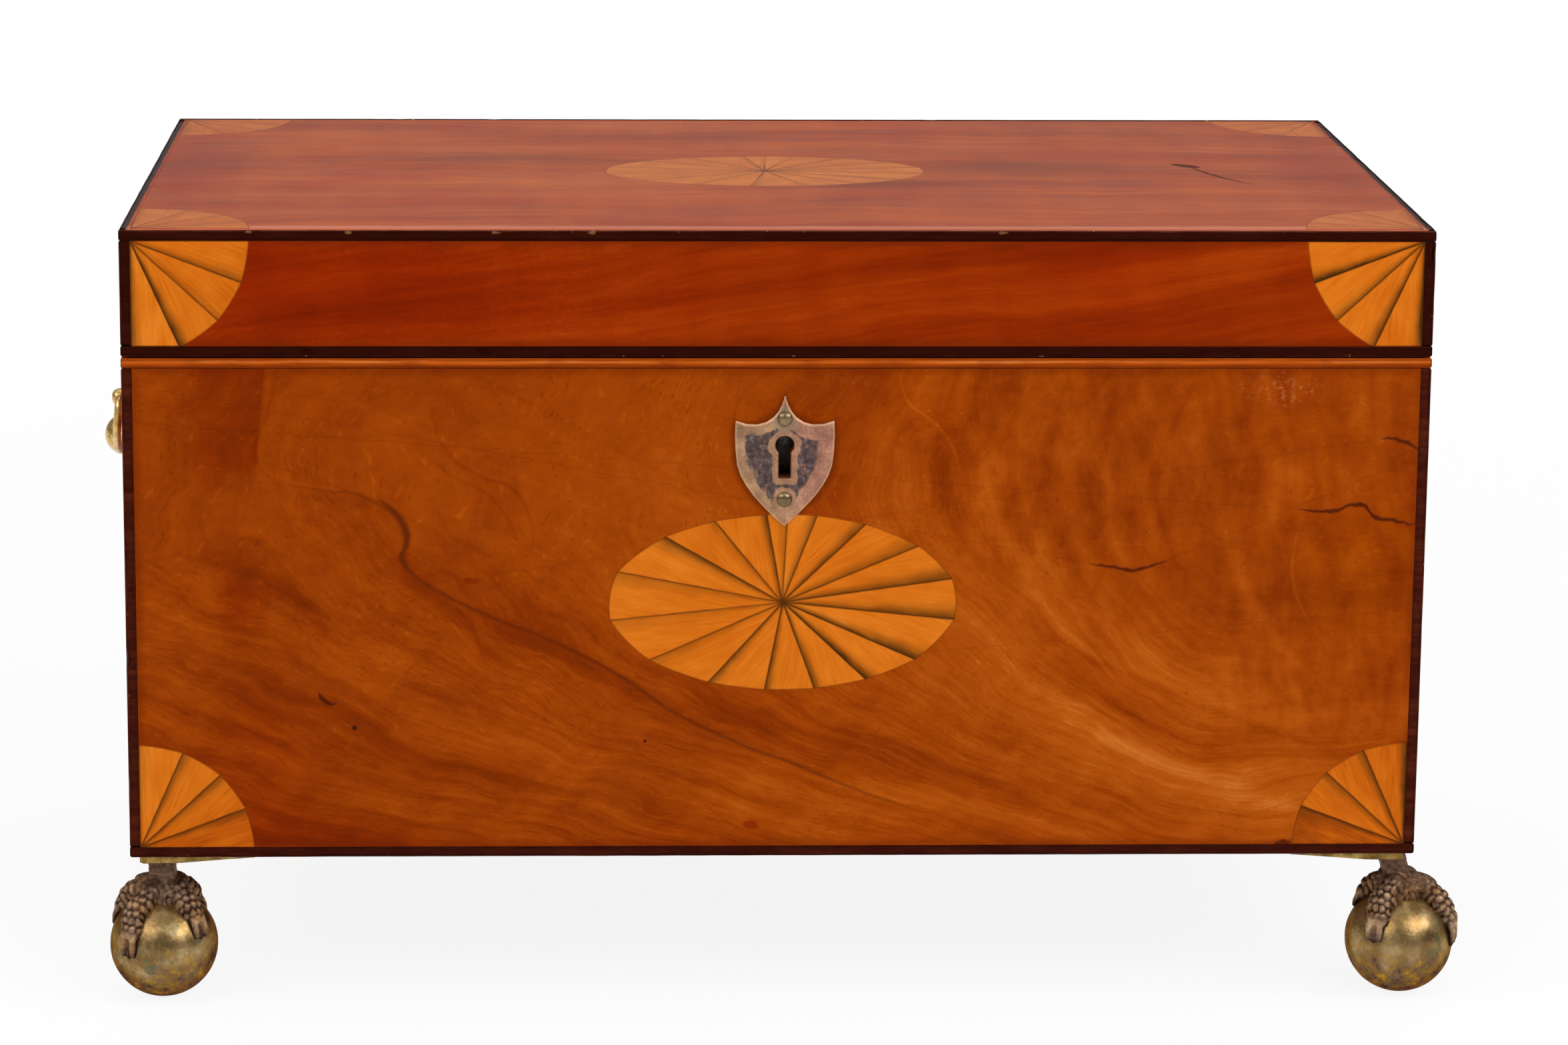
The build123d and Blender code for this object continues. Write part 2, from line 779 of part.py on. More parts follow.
well_range = (well_face, inner_half_width)
inner_y = (-inner_half_depth, inner_half_depth)
lid_centre_x = sum(well_range) / 2
support_z = (support_top - support_height, support_top)
knob_hole = Cylinder(knob_spigot_radius, 4 * inner_lid_thickness)


def support_strips():
    """Ledges along the front and the back of each well."""
    strips = []
    middle = (-partition_face, partition_face)
    for x_range in ((-well_range[1], -well_range[0]), middle, well_range):
        strips.append(block(x_range, (-inner_half_depth, support_width - inner_half_depth), support_z))
        strips.append(block(x_range, (inner_half_depth - support_width, inner_half_depth), support_z))
    return strips


def well_lining(side):
    """Thin metal lining of a tea well, open at the top."""
    x_range = tuple(sorted((side * well_range[0], side * well_range[1])))
    outer = block(x_range, inner_y, (case_floor, support_z[0]))
    hollow = block(
        (x_range[0] + lining_thickness, x_range[1] - lining_thickness),
        (inner_y[0] + lining_thickness, inner_y[1] - lining_thickness),
        (case_floor + lining_thickness, support_z[0]),
    )
    return outer - hollow


def inner_lid(side):
    """Lid of a tea well, with a small chamfer round its top and a hole for the knob."""
    width = well_range[1] - well_range[0] - 2 * inner_lid_clearance
    depth = 2 * (inner_half_depth - inner_lid_clearance)
    low = support_top + seat_gap
    panel = Box(width, depth, inner_lid_thickness, align=(Align.CENTER, Align.CENTER, Align.MIN))
    panel = chamfer(panel.faces().sort_by(Axis.Z)[-1].edges(), inner_lid_chamfer)
    return Pos(side * lid_centre_x, 0, low) * (panel - knob_hole)


def inner_knob(side):
    """Turned knob whose spigot fills the hole in the inner lid."""
    base = inner_lid_thickness
    outline = [
        (0, 0),
        (knob_spigot_radius, 0),
        (knob_spigot_radius, base),
        (knob_radius * 0.75, base),
        (knob_radius * 0.75, base + knob_height * 0.12),
        (knob_neck_radius, base + knob_height * 0.3),
        (knob_neck_radius, base + knob_height * 0.42),
        (knob_radius * 0.9, base + knob_height * 0.6),
        (knob_radius, base + knob_height * 0.74),
        (knob_radius * 0.82, base + knob_height * 0.92),
        (0, base + knob_height),
    ]
    return Pos(side * lid_centre_x, 0, support_top + seat_gap) * turned(outline)


def mixing_bowl():
    """Glass bowl that hangs by its rim from the board of the middle well."""
    low = inner_level + seat_gap + bowl_rim_thickness - bowl_height
    lip = bowl_height - bowl_rim_thickness
    outside = [
        Line((0, 0), (bowl_foot_radius, 0)),
        Line((bowl_foot_radius, 0), (bowl_foot_radius, bowl_wall)),
        ThreePointArc(
            (bowl_foot_radius, bowl_wall),
            (bowl_body_radius * 0.86, bowl_height * 0.36),
            (bowl_body_radius, bowl_height * 0.8)),
        Line((bowl_body_radius, bowl_height * 0.8), (bowl_body_radius, lip)),
        Line((bowl_body_radius, lip), (bowl_rim_radius, lip)),
        Line((bowl_rim_radius, lip), (bowl_rim_radius, bowl_height)),
    ]
    inner_radius = bowl_body_radius - bowl_wall
    inside = [
        Line((bowl_rim_radius, bowl_height), (inner_radius, bowl_height)),
        Line((inner_radius, bowl_height), (inner_radius, bowl_height * 0.8)),
        ThreePointArc(
            (inner_radius, bowl_height * 0.8),
            (inner_radius * 0.85, bowl_height * 0.39),
            (bowl_foot_radius - bowl_wall, 2.2 * bowl_wall)),
        Line((bowl_foot_radius - bowl_wall, 2.2 * bowl_wall), (0, 2 * bowl_wall)),
        Line((0, 2 * bowl_wall), (0, 0)),
    ]
    return Pos(0, 0, low) * revolve(Plane.XZ * make_face(outside + inside), Axis.Z)


well_board = block((-partition_face, partition_face), inner_y, (support_top, inner_level))
bowl_hole = Pos(0, 0, support_top) * Cylinder(bowl_body_radius + bowl_hole_clearance, 4 * inner_lid_thickness)
keep("partitions", [
    block(tuple(sorted((side * partition_face, side * well_face))), inner_y, (case_floor, inner_level))
    for side in sides.values()
])
keep("well_linings", [well_lining(side) for side in sides.values()])
keep("inner_lid_supports", support_strips())
keep("well_board", well_board - bowl_hole)
keep("mixing_bowl", mixing_bowl())
for name, side in sides.items():
    keep(f"{name}_inner_lid", inner_lid(side))
    keep(f"{name}_inner_knob", inner_knob(side))


# Lid

lid_bevel = stop_bevel(1)
lid_strips = (
    ring_of_strips(lid_bottom, lid_veneer_low, False)
    + corner_strips(lid_veneer_low, lid_veneer_high)
    + ring_of_strips(lid_veneer_high, lid_top, True)
)
keep("lid_edging", [strip - lid_bevel for strip in lid_strips])

rail_z = (lid_bottom, lid_ceiling)
lid_board = block(core_x, (-core_half_depth, core_half_depth), (lid_ceiling, lid_core_top))
keep("lid_board", lid_board - lid_strips)
front_rail = block(core_x, (-core_half_depth, -inner_half_depth), rail_z)
keep("lid_front_rail", front_rail - lid_strips - [link_room] - link_screw_blanks)
back_rail = block(core_x, (inner_half_depth, core_half_depth), rail_z)
keep("lid_back_rail", (
    back_rail - lid_strips - [lid_bevel] - hinge_room(lid_bottom, 1) - lid_hinge_blanks))

lid_skin_z = (lid_veneer_low, lid_veneer_high)
lid_front_veneer = block(panel_x, (front, front + veneer), lid_skin_z)
keep("lid_front_veneer", lid_front_veneer - lid_front_fans)
lid_back_skin = block(panel_x, (back - veneer, back), (lid_bottom, lid_veneer_high))
keep("lid_back_veneer", lid_back_skin - lid_strips - [lid_bevel])
for name, side in sides.items():
    rail_x = tuple(sorted((side * inner_half_width, side * core_half_width)))
    keep(f"lid_{name}_rail", block(rail_x, inner_y, rail_z) - lid_strips)
    skin_x = tuple(sorted((side * core_half_width, side * half_width)))
    skin = block(skin_x, (-panel_half_depth, panel_half_depth), lid_skin_z)
    keep(f"lid_{name}_veneer", skin - [lid_bevel])

lid_top_veneer = block(panel_x, (-panel_half_depth, panel_half_depth), (lid_core_top, lid_top))
keep("lid_top_veneer", lid_top_veneer - lid_top_fans - lid_patera)
keep("lid_lining", block(
    (baize_margin - inner_half_width, inner_half_width - baize_margin),
    (baize_margin - inner_half_depth, inner_half_depth - baize_margin),
    (lid_ceiling - seat_gap - baize_thickness, lid_ceiling - seat_gap),
))


# Feet

def foot_plate(x_sign, y_sign):
    """Plate under a corner of the case, with two arms that taper along the edges."""
    tip = foot_plate_tip_width
    outline = [
        (0, 0), (foot_plate_arm, 0), (foot_plate_arm, tip),
        (foot_plate_waist, foot_plate_waist), (tip, foot_plate_arm), (0, foot_plate_arm),
    ]
    corner_x = half_width - foot_plate_inset
    corner_y = back - foot_plate_inset
    points = [(x_sign * (corner_x - along), y_sign * (corner_y - across)) for along, across in outline]
    face = Pos(0, 0, case_bottom) * make_face(Polyline(*points, close=True))
    return extrude(face, amount=foot_plate_thickness, dir=(0, 0, -1))


def over_ball(ball_centre, polar, azimuth):
    """Point on a toe's middle line, by its angle down from the top of the ball and its azimuth."""
    fall = radians(polar)
    turn = radians(azimuth)
    outward = Vector(sin(fall) * cos(turn), sin(fall) * sin(turn), cos(fall))
    return ball_centre + outward * (ball_radius + toe_lift)


def toe_bone(start, end, start_radius, end_radius):
    """Tapered round rod between two points."""
    reach = end - start
    rod = Cone(start_radius, end_radius, reach.length, align=(Align.CENTER, Align.CENTER, Align.MIN))
    return Plane(origin=start, z_dir=reach) * rod


def toe(ball_centre, azimuth):
    """Solids of one toe: knuckles joined by tapered bones, and a talon that ends in a point."""
    knuckles = [over_ball(ball_centre, polar, azimuth) for polar in knuckle_polars]
    joints = [over_ball(ball_centre, 0, azimuth)] + knuckles
    solids = [
        toe_bone(start, end, bone_top_radius, bone_foot_radius) for start, end in zip(joints, joints[1:])
    ]
    talon_tip = over_ball(ball_centre, talon_polar, azimuth)
    solids.append(toe_bone(knuckles[-1], talon_tip, talon_root_radius, talon_tip_radius))
    solids += [Pos(*knuckle) * Sphere(radius) for knuckle, radius in zip(knuckles, toe_knuckle_radii)]
    return solids


def neck(neck_x, ball_centre):
    """Square neck that leans from the plate to the top of the ball."""
    top_z = case_bottom - foot_plate_thickness
    top = Pos(neck_x, ball_centre.Y, top_z) * Rectangle(neck_top_width, neck_top_width)
    foot_z = ball_centre.Z + ball_radius - palm_sink
    foot = Pos(ball_centre.X, ball_centre.Y, foot_z) * Rectangle(neck_foot_width, neck_foot_width)
    return loft([foot, top])


def foot_ball(ball_centre):
    """Ball with a worn flat to stand on and a stud on top."""
    ball = Pos(*ball_centre) * Sphere(ball_radius)
    stud_height = ball_radius + ball_stud_height
    stud = Cylinder(ball_stud_radius, stud_height, align=(Align.CENTER, Align.CENTER, Align.MIN))
    ball += Pos(*ball_centre) * stud
    under = Box(2 * ball_radius, 2 * ball_radius, ball_radius, align=(Align.CENTER, Align.CENTER, Align.MAX))
    return ball - Pos(ball_centre.X, ball_centre.Y, 0) * under


def foot_claw(x_sign, y_sign, neck_x, ball_centre, azimuths):
    """Plate, neck, palm and four toes, hollowed to fit over the ball and its stud."""
    claw = Pos(ball_centre.X, ball_centre.Y, ball_centre.Z + ball_radius - palm_sink) * Sphere(palm_radius)
    claw += neck(neck_x, ball_centre)
    for azimuth in azimuths:
        claw += toe(ball_centre, -y_sign * azimuth)
    claw += foot_plate(x_sign, y_sign)
    seat = ball_radius + ball_seat_clearance
    socket_height = ball_radius + ball_stud_height + ball_seat_clearance
    socket = Cylinder(
        ball_stud_radius + ball_seat_clearance, socket_height, align=(Align.CENTER, Align.CENTER, Align.MIN))
    return claw - [Pos(*ball_centre) * Sphere(seat), Pos(*ball_centre) * socket] - foot_screw_blanks


foot_sides = {
    "left": (left_ball_inset, left_neck_inset, left_toe_azimuths),
    "right": (right_ball_inset, right_neck_inset, right_toe_azimuths),
}
for x_name, x_sign in sides.items():
    ball_inset, neck_inset, azimuths = foot_sides[x_name]
    neck_x = x_sign * (half_width - neck_inset)
    for y_name, y_sign in {"front": -1, "back": 1}.items():
        ball_centre = Vector(x_sign * (half_width - ball_inset), y_sign * ball_y, ball_centre_height)
        keep(f"{y_name}_{x_name}_ball", foot_ball(ball_centre))
        keep(f"{y_name}_{x_name}_claw", foot_claw(x_sign, y_sign, neck_x, ball_centre, azimuths))


# Write one file for each node

os.makedirs("parts", exist_ok=True)
for name, shape in nodes.items():
    export_step(shape, f"parts/{name}.step")
print(len(nodes), "nodes")
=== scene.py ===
import math
from collections import Counter
from functools import partial, reduce

import bmesh
import bpy
import numpy as np
from mathutils import Matrix, Vector, noise


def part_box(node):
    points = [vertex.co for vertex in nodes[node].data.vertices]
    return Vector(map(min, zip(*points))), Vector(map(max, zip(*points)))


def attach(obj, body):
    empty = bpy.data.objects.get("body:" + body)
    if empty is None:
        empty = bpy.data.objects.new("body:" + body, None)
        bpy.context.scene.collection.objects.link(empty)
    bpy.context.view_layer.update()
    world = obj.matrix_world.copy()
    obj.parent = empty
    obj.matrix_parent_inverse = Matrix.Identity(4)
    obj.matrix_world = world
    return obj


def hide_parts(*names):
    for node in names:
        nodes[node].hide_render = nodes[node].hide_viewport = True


# Looks of an antique tea caddy: inlaid veneers, dark stringing, a shield escutcheon and claw-and-ball feet.
# The row frame is in metres: the front faces -Y, +Z is up, and the floor is at z = 0.

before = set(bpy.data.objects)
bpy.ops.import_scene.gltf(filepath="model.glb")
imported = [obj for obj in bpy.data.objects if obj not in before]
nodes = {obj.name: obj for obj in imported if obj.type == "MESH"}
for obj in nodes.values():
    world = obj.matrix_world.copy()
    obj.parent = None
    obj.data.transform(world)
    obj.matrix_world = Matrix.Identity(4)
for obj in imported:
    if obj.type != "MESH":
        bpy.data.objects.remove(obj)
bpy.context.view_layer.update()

mm = 0.001
edging = 2.5 * mm
veneer = 1.0 * mm
line_height = 2.4 * mm
case_low, case_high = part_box("case_edging")
lid_low, lid_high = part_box("lid_edging")
rim_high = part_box("rim_line")[1].z
front_y = case_low.y
back_y = case_high.y
half_width = case_high.x
hinge_y = back_y - 3 * mm
joint_z = (rim_high + lid_low.z) / 2
bevel_slope = math.tan(math.radians(48))


# Colours

def srgb(red, green, blue):
    """Linear colour of a screen colour written as 0 to 255."""
    def linear(value):
        value /= 255
        return value / 12.92 if value <= 0.04045 else ((value + 0.055) / 1.055) ** 2.4
    return (linear(red), linear(green), linear(blue), 1.0)


# Node graphs

def operator(operation, swapped=False):
    """Method of a Value that puts it through a math node."""
    def apply(self, other=0.0):
        first, second = (other, self) if swapped else (self, other)
        return self.graph.math(operation, first, second)
    return apply


class Value:
    """Output of a node that can be used in arithmetic."""

    def __init__(self, graph, socket):
        self.graph = graph
        self.socket = socket

    __add__, __radd__ = operator("ADD"), operator("ADD", True)
    __sub__, __rsub__ = operator("SUBTRACT"), operator("SUBTRACT", True)
    __mul__, __rmul__ = operator("MULTIPLY"), operator("MULTIPLY", True)
    __truediv__ = operator("DIVIDE")
    __abs__ = operator("ABSOLUTE")


class Graph:
    """Node tree of a new material, or of a world that is given."""

    def __init__(self, name, world=None):
        self.material = world or bpy.data.materials.new(name)
        self.material.use_nodes = True
        self.tree = self.material.node_tree
        self.tree.nodes.clear()

    def feed(self, socket, value):
        """Link or set a socket. A colour of three numbers is a screen colour, written as 0 to 255."""
        if isinstance(value, Value):
            self.tree.links.new(value.socket, socket)
        elif socket.type == "RGBA" and len(value) == 3:
            socket.default_value = srgb(*value)
        else:
            socket.default_value = value

    def node(self, kind, inputs=(), **settings):
        made = self.tree.nodes.new("ShaderNode" + kind)
        for name, value in settings.items():
            setattr(made, name, value)
        for name, value in dict(inputs).items():
            self.feed(made.inputs[name], value)
        return made

    def value(self, made, output=0):
        return Value(self, made.outputs[output])

    def math(self, operation, first, second=0.0):
        return self.value(self.node("Math", {0: first, 1: second}, operation=operation))

    def minimum(self, *values):
        return reduce(partial(self.math, "MINIMUM"), values)

    def maximum(self, *values):
        return reduce(partial(self.math, "MAXIMUM"), values)

    def power(self, base, exponent):
        return self.math("POWER", base, exponent)

    def root(self, value):
        return self.math("SQRT", value)

    def place(self):
        """Position on the piece, in millimetres, as three values."""
        made = self.node("TexCoord")
        parts = self.node("SeparateXYZ", {0: self.value(made, "Object")})
        return [self.value(parts, axis) / mm for axis in range(3)]

    def attribute(self, name):
        return self.value(self.node("Attribute", attribute_name=name), "Fac")

    def point(self, x, y, z=0.0):
        return self.value(self.node("CombineXYZ", {0: x, 1: y, 2: z}))

    def noise(self, x, y, z=0.0, detail=2.0, roughness=0.5):
        """Smooth noise about 0.5 with features about one unit across."""
        made = self.node(
            "TexNoise",
            {"Vector": self.point(x, y, z), "Scale": 1.0, "Detail": detail, "Roughness": roughness})
        return self.value(made, 0)

    def lumps(self, place, size, shift=0.0, **settings):
        """Noise that is alike in every direction, with features of a size in millimetres."""
        x, y, z = place
        return self.noise(x / size, y / size, z / size + shift, **settings)

    def cell_walls(self, x, y, z):
        """Distance from the walls between cells that are about one unit across."""
        inputs = {"Vector": self.point(x, y, z), "Scale": 1.0}
        made = self.node("TexVoronoi", inputs, feature="DISTANCE_TO_EDGE")
        return self.value(made, "Distance")

    def smooth(self, value, low, high):
        """0 below low and 1 above high, or the other way round where low is the larger."""
        made = self.node(
            "MapRange",
            {"Value": value, "From Min": low, "From Max": high},
            interpolation_type="SMOOTHSTEP", clamp=True)
        return self.value(made)

    def curve(self, value, points):
        """Smooth curve through points, both of whose values run from 0 to 1."""
        made = self.node("FloatCurve", {"Value": value})
        line = made.mapping.curves[0]
        while len(line.points) > 2:
            line.points.remove(line.points[1])
        line.points[0].location = points[0]
        line.points[1].location = points[-1]
        for place in points[1:-1]:
            line.points.new(*place)
        made.mapping.update()
        return self.value(made)

    def ramp(self, value, stops):
        """Colour from a list of (position, screen colour)."""
        made = self.node("ValToRGB", {"Fac": value})
        elements = made.color_ramp.elements
        while len(elements) > 1:
            elements.remove(elements[-1])
        elements[0].position = stops[0][0]
        elements[0].color = srgb(*stops[0][1])
        for position, colour in stops[1:]:
            elements.new(position).color = srgb(*colour)
        return self.value(made)

    def mix(self, factor, first, second, blend="MIX"):
        made = self.node("Mix", data_type="RGBA", blend_type=blend)
        for index, value in ((0, factor), (6, first), (7, second)):
            self.feed(made.inputs[index], value)
        return self.value(made, 2)

    def layered(self, colour, *layers):
        """Colour under layers, each given as its mask, its colour and, if it isn't plain, its blending."""
        for mask, tint, *blend in layers:
            colour = self.mix(mask, colour, tint, *blend)
        return colour

    def bump(self, height, distance):
        """Bump from a height in units of distance, which is in millimetres."""
        return self.value(self.node("Bump", {"Height": height, "Distance": distance * mm, "Strength": 1.0}))

    def finish(self, **inputs):
        """Close the graph with a principled surface, whose inputs are named with underscores."""
        named = {name.replace("_", " "): value for name, value in inputs.items()}
        shader = self.node("BsdfPrincipled", named)
        output = self.node("OutputMaterial")
        self.tree.links.new(shader.outputs[0], output.inputs["Surface"])
        return self.material


# Marks on a panel

def stroke(graph, u, v, points, width, feather=0.35, tremble=0.0):
    """Mask of a line drawn through points of a panel, thinning out at both ends. It may tremble sideways."""
    first = Vector(points[0])
    along = (Vector(points[-1]) - first).normalized()
    steps = [Vector(point) - first for point in points]
    runs = [step.dot(along) for step in steps]
    sways = [along.cross(step) for step in steps]
    low = min(sways) - 1
    span = max(sways) + 1 - low
    length = runs[-1]
    share = ((u - first.x) * along.x + (v - first.y) * along.y) / length
    sway = (v - first.y) * along.x - (u - first.x) * along.y
    middle = graph.curve(share, [(run / length, (sway_at - low) / span) for run, sway_at in zip(runs, sways)])
    if tremble:
        sway = sway + (graph.noise(u / 2.4, v / 2.4, 3.0, detail=3) - 0.5) * tremble
    offset = abs(sway - (middle * span + low))
    taper = graph.maximum(share * (1 - share) * 4, 0.0)
    half = graph.root(taper) * (width / 2)
    return graph.smooth(half - offset, -feather * 0.5, feather)


def spot(graph, u, v, centre, radius_u, radius_v, ragged=0.5, soft=0.3):
    """Mask of a ragged spot, whose edge may be soft."""
    across = (u - centre[0]) / radius_u
    up = (v - centre[1]) / radius_v
    wobble = graph.noise(u / 1.3, v / 1.3, centre[0]) - 0.5
    reach = graph.root(across * across + up * up) + wobble * ragged * 2
    return graph.smooth(reach, 0.85 + soft, 0.85 - soft)


# Woods

mahogany = [
    (0, (92, 24, 1)), (0.28, (126, 42, 2)), (0.5, (150, 61, 5)), (0.72, (170, 80, 14)),
    (1, (198, 112, 42))]
red_mahogany = [
    (0, (84, 12, 1)), (0.3, (120, 27, 1)), (0.55, (143, 42, 2)), (0.78, (160, 58, 6)), (1, (184, 86, 24))]
lid_mahogany = [
    (0, (112, 34, 8)), (0.3, (152, 58, 12)), (0.55, (176, 76, 18)), (0.78, (194, 92, 28)),
    (1, (214, 116, 50))]
dark_wood = [(0, (34, 12, 4)), (0.35, (58, 22, 8)), (0.65, (84, 34, 12)), (1, (116, 56, 24))]
plain_wood = [(0, (70, 32, 14)), (0.35, (106, 54, 26)), (0.65, (132, 72, 38)), (1, (158, 96, 56))]


def fibres(graph, along, across, seed, band=16.0, streak=2.6):
    """Tone of straight-fibred wood about 0.5, from its positions along and across the fibres."""
    bands = graph.noise(along / 150, across / band, seed, detail=2)
    streaks = graph.noise(along / 48, across / streak, seed + 3, detail=3, roughness=0.6)
    threads = graph.noise(along / 8, across / 0.42, seed + 7, detail=2)
    ripple = graph.noise(along / 11, across / 42, seed + 11, detail=1)
    return (
        0.5
        + (bands - 0.5) * 0.8
        + (streaks - 0.5) * 0.6
        + (threads - 0.5) * 0.28
        + (ripple - 0.5) * 0.25
    )


def pores(graph, along, across, seed):
    """Mask of the short dark pores of the wood, which come in drifts."""
    dashes = graph.noise(along / 2.2, across / 0.22, seed + 17, detail=1)
    drifts = graph.noise(along / 28, across / 9, seed + 19, detail=2)
    return graph.smooth(dashes + (drifts - 0.5) * 0.35, 0.63, 0.74)


def varnish(graph, colour, along, across, pore_mask, seed, scuffs=None, gloss=0.3, relief=0.35):
    """Waxed and worn surface over a wood colour, whose stain tints what it reflects head on."""
    wear = graph.noise(along / 30, across / 14, seed + 23, detail=4, roughness=0.65)
    smears = graph.noise(along / 3.5, across / 3.5, seed + 29, detail=3)
    height = (wear - 0.5) * 0.5 + (smears - 0.5) * 0.06 - pore_mask * 0.008
    rough = gloss + (wear - 0.5) * 0.22 + (smears - 0.5) * 0.12
    if scuffs is not None:
        height = height - scuffs * 0.35
        rough = rough + scuffs * 0.25
    return graph.finish(
        Base_Color=colour,
        Roughness=rough,
        Specular_IOR_Level=0.32,
        Specular_Tint=(255, 150, 50),
        Normal=graph.bump(height, relief),
    )


def grime(graph, distance, u, v, seed):
    """Mask of the darkening that gathers along an edge of a panel."""
    wobble = graph.noise(u / 9, v / 9, seed + 31, detail=3)
    return graph.smooth(distance - (wobble - 0.5) * 3, 2.6, 0.0)


def panel_edges(graph, u, v, u_range, v_range):
    """Distance to the nearest edge of a rectangular panel."""
    return graph.minimum(u - u_range[0], u_range[1] - u, v - v_range[0], v_range[1] - v)


def marked(graph, u, v, lines, feather, tremble=0.0):
    """Strongest of several lines, each given as its width and its points."""
    return graph.maximum(*[stroke(graph, u, v, points, width, feather, tremble) for width, points in lines])


# Figure of the case front, from its lower middle, in millimetres: the width of each line and its points

long_vein = [
    (-111.8, 88.7), (-101.9, 87.2), (-93.1, 85.2), (-87.2, 80.8), (-85.2, 75.9), (-85.6, 71.0),
    (-80.3, 65.1), (-72.5, 60.7), (-62.6, 56.2), (-52.8, 52.3), (-43, 47.4), (-33.2, 41.5),
    (-23.3, 34.6), (-8.6, 27.3), (3, 22.8), (16.7, 16.9), (36.5, 10)]
vein_knee = [(-92.5, 85.6), (-88.2, 82.6), (-85.6, 78.6), (-85.4, 74.5), (-86.4, 71.2), (-83.6, 67.6)]
faint_veins = [
    (1.0, [(-88, 66), (-82, 60), (-76, 57), (-70, 54.5), (-60, 51)]),
    (1.0, [(-115, 114), (-116.9, 105), (-119.6, 95.5), (-117, 91), (-109, 88)]),
    (1.1, [(-79, 104), (-76.4, 97.5), (-67.5, 90.6), (-59.7, 86.7), (-56.9, 80.8), (-58.2, 72)]),
    (0.9, [(-82, 97), (-74, 90.5), (-66, 86), (-61.5, 80), (-62, 73)]),
    (0.8, [(-70.5, 57), (-69.6, 53), (-68.4, 50), (-67.6, 47)]),
]
dark_streaks = [
    (2.6, [(17.5, 32.2), (35, 24), (55, 15), (76, 6.6)]),
    (2.4, [(47, 51.8), (64, 43), (83, 34), (105, 24)]),
    (2.0, [(57, 58), (72, 48), (99, 36), (128, 26)]),
    (2.8, [(-60, 33), (-40, 26), (-15, 17), (10, 9)]),
    (3.6, [(-140, 72), (-125, 69), (-110, 62), (-98, 56)]),
    (3.0, [(-138, 36), (-120, 30), (-95, 20), (-70, 12)]),
    (4.5, [(66, 113), (63, 99), (63.5, 86), (68, 71), (79, 58)]),
    (6.0, [(37, 102), (38, 89), (42, 78), (49, 68)]),
    (3.0, [(95, 112), (90, 100), (87, 88), (90, 76), (98, 62)]),
]
light_streaks = [
    (4.5, [(47, 97), (49.5, 85), (54, 74), (61, 62), (76, 47)]),
    (3.0, [(57, 112), (55.5, 99), (57, 85), (62, 71), (72, 58)]),
    (3.4, [(104, 80), (106, 70), (112, 58), (124, 44)]),
    (5.0, [(60, 36), (85, 25), (110, 15), (130, 9)]),
    (3.0, [(80, 104), (76, 92), (77, 80), (82, 68)]),
]
light_lines = [
    (0.9, [(28.4, 116), (29.3, 109.2), (33.5, 105.2), (37.5, 101.7), (40.8, 96), (40.2, 91)]),
    (0.7, [(121.5, 80), (119.6, 74), (119.4, 67), (121.5, 60), (125, 54)]),
    (0.4, [(-117.5, 92.2), (-111, 89.6), (-101.5, 88.1)]),
]
crack_lines = [
    (1.0, [(72, 70.2), (76.5, 69.4), (82.2, 68.6), (86, 69.4), (90.5, 71)]),
    (1.2, [(120, 82.8), (128.8, 82.5), (134.2, 84.1), (138.7, 80.9), (142, 80.3), (148.5, 79.0)]),
    (1.1, [(138.5, 99.5), (143.7, 99.1), (148.5, 96)]),
    (1.3, [(-105.8, 39.8), (-104.6, 37.6), (-101.6, 37.0)]),
]
shield_edges = [
    (2.6, [(-9.9, 106), (-10.1, 98), (-9.4, 93.5), (-7.4, 88.5), (-3.6, 83.8), (1.6, 78.2)]),
    (2.6, [(12.9, 106), (13.1, 98), (12.4, 93.5), (10.4, 88.5), (6.6, 83.8), (1.4, 78.2)]),
    (2.4, [(1.2, 111.5), (0.4, 107), (-2.0, 104.4), (-6.0, 103.2), (-10.2, 103.8)]),
    (2.4, [(1.8, 111.5), (2.6, 107), (5.0, 104.4), (9.0, 103.2), (13.2, 103.8)]),
]


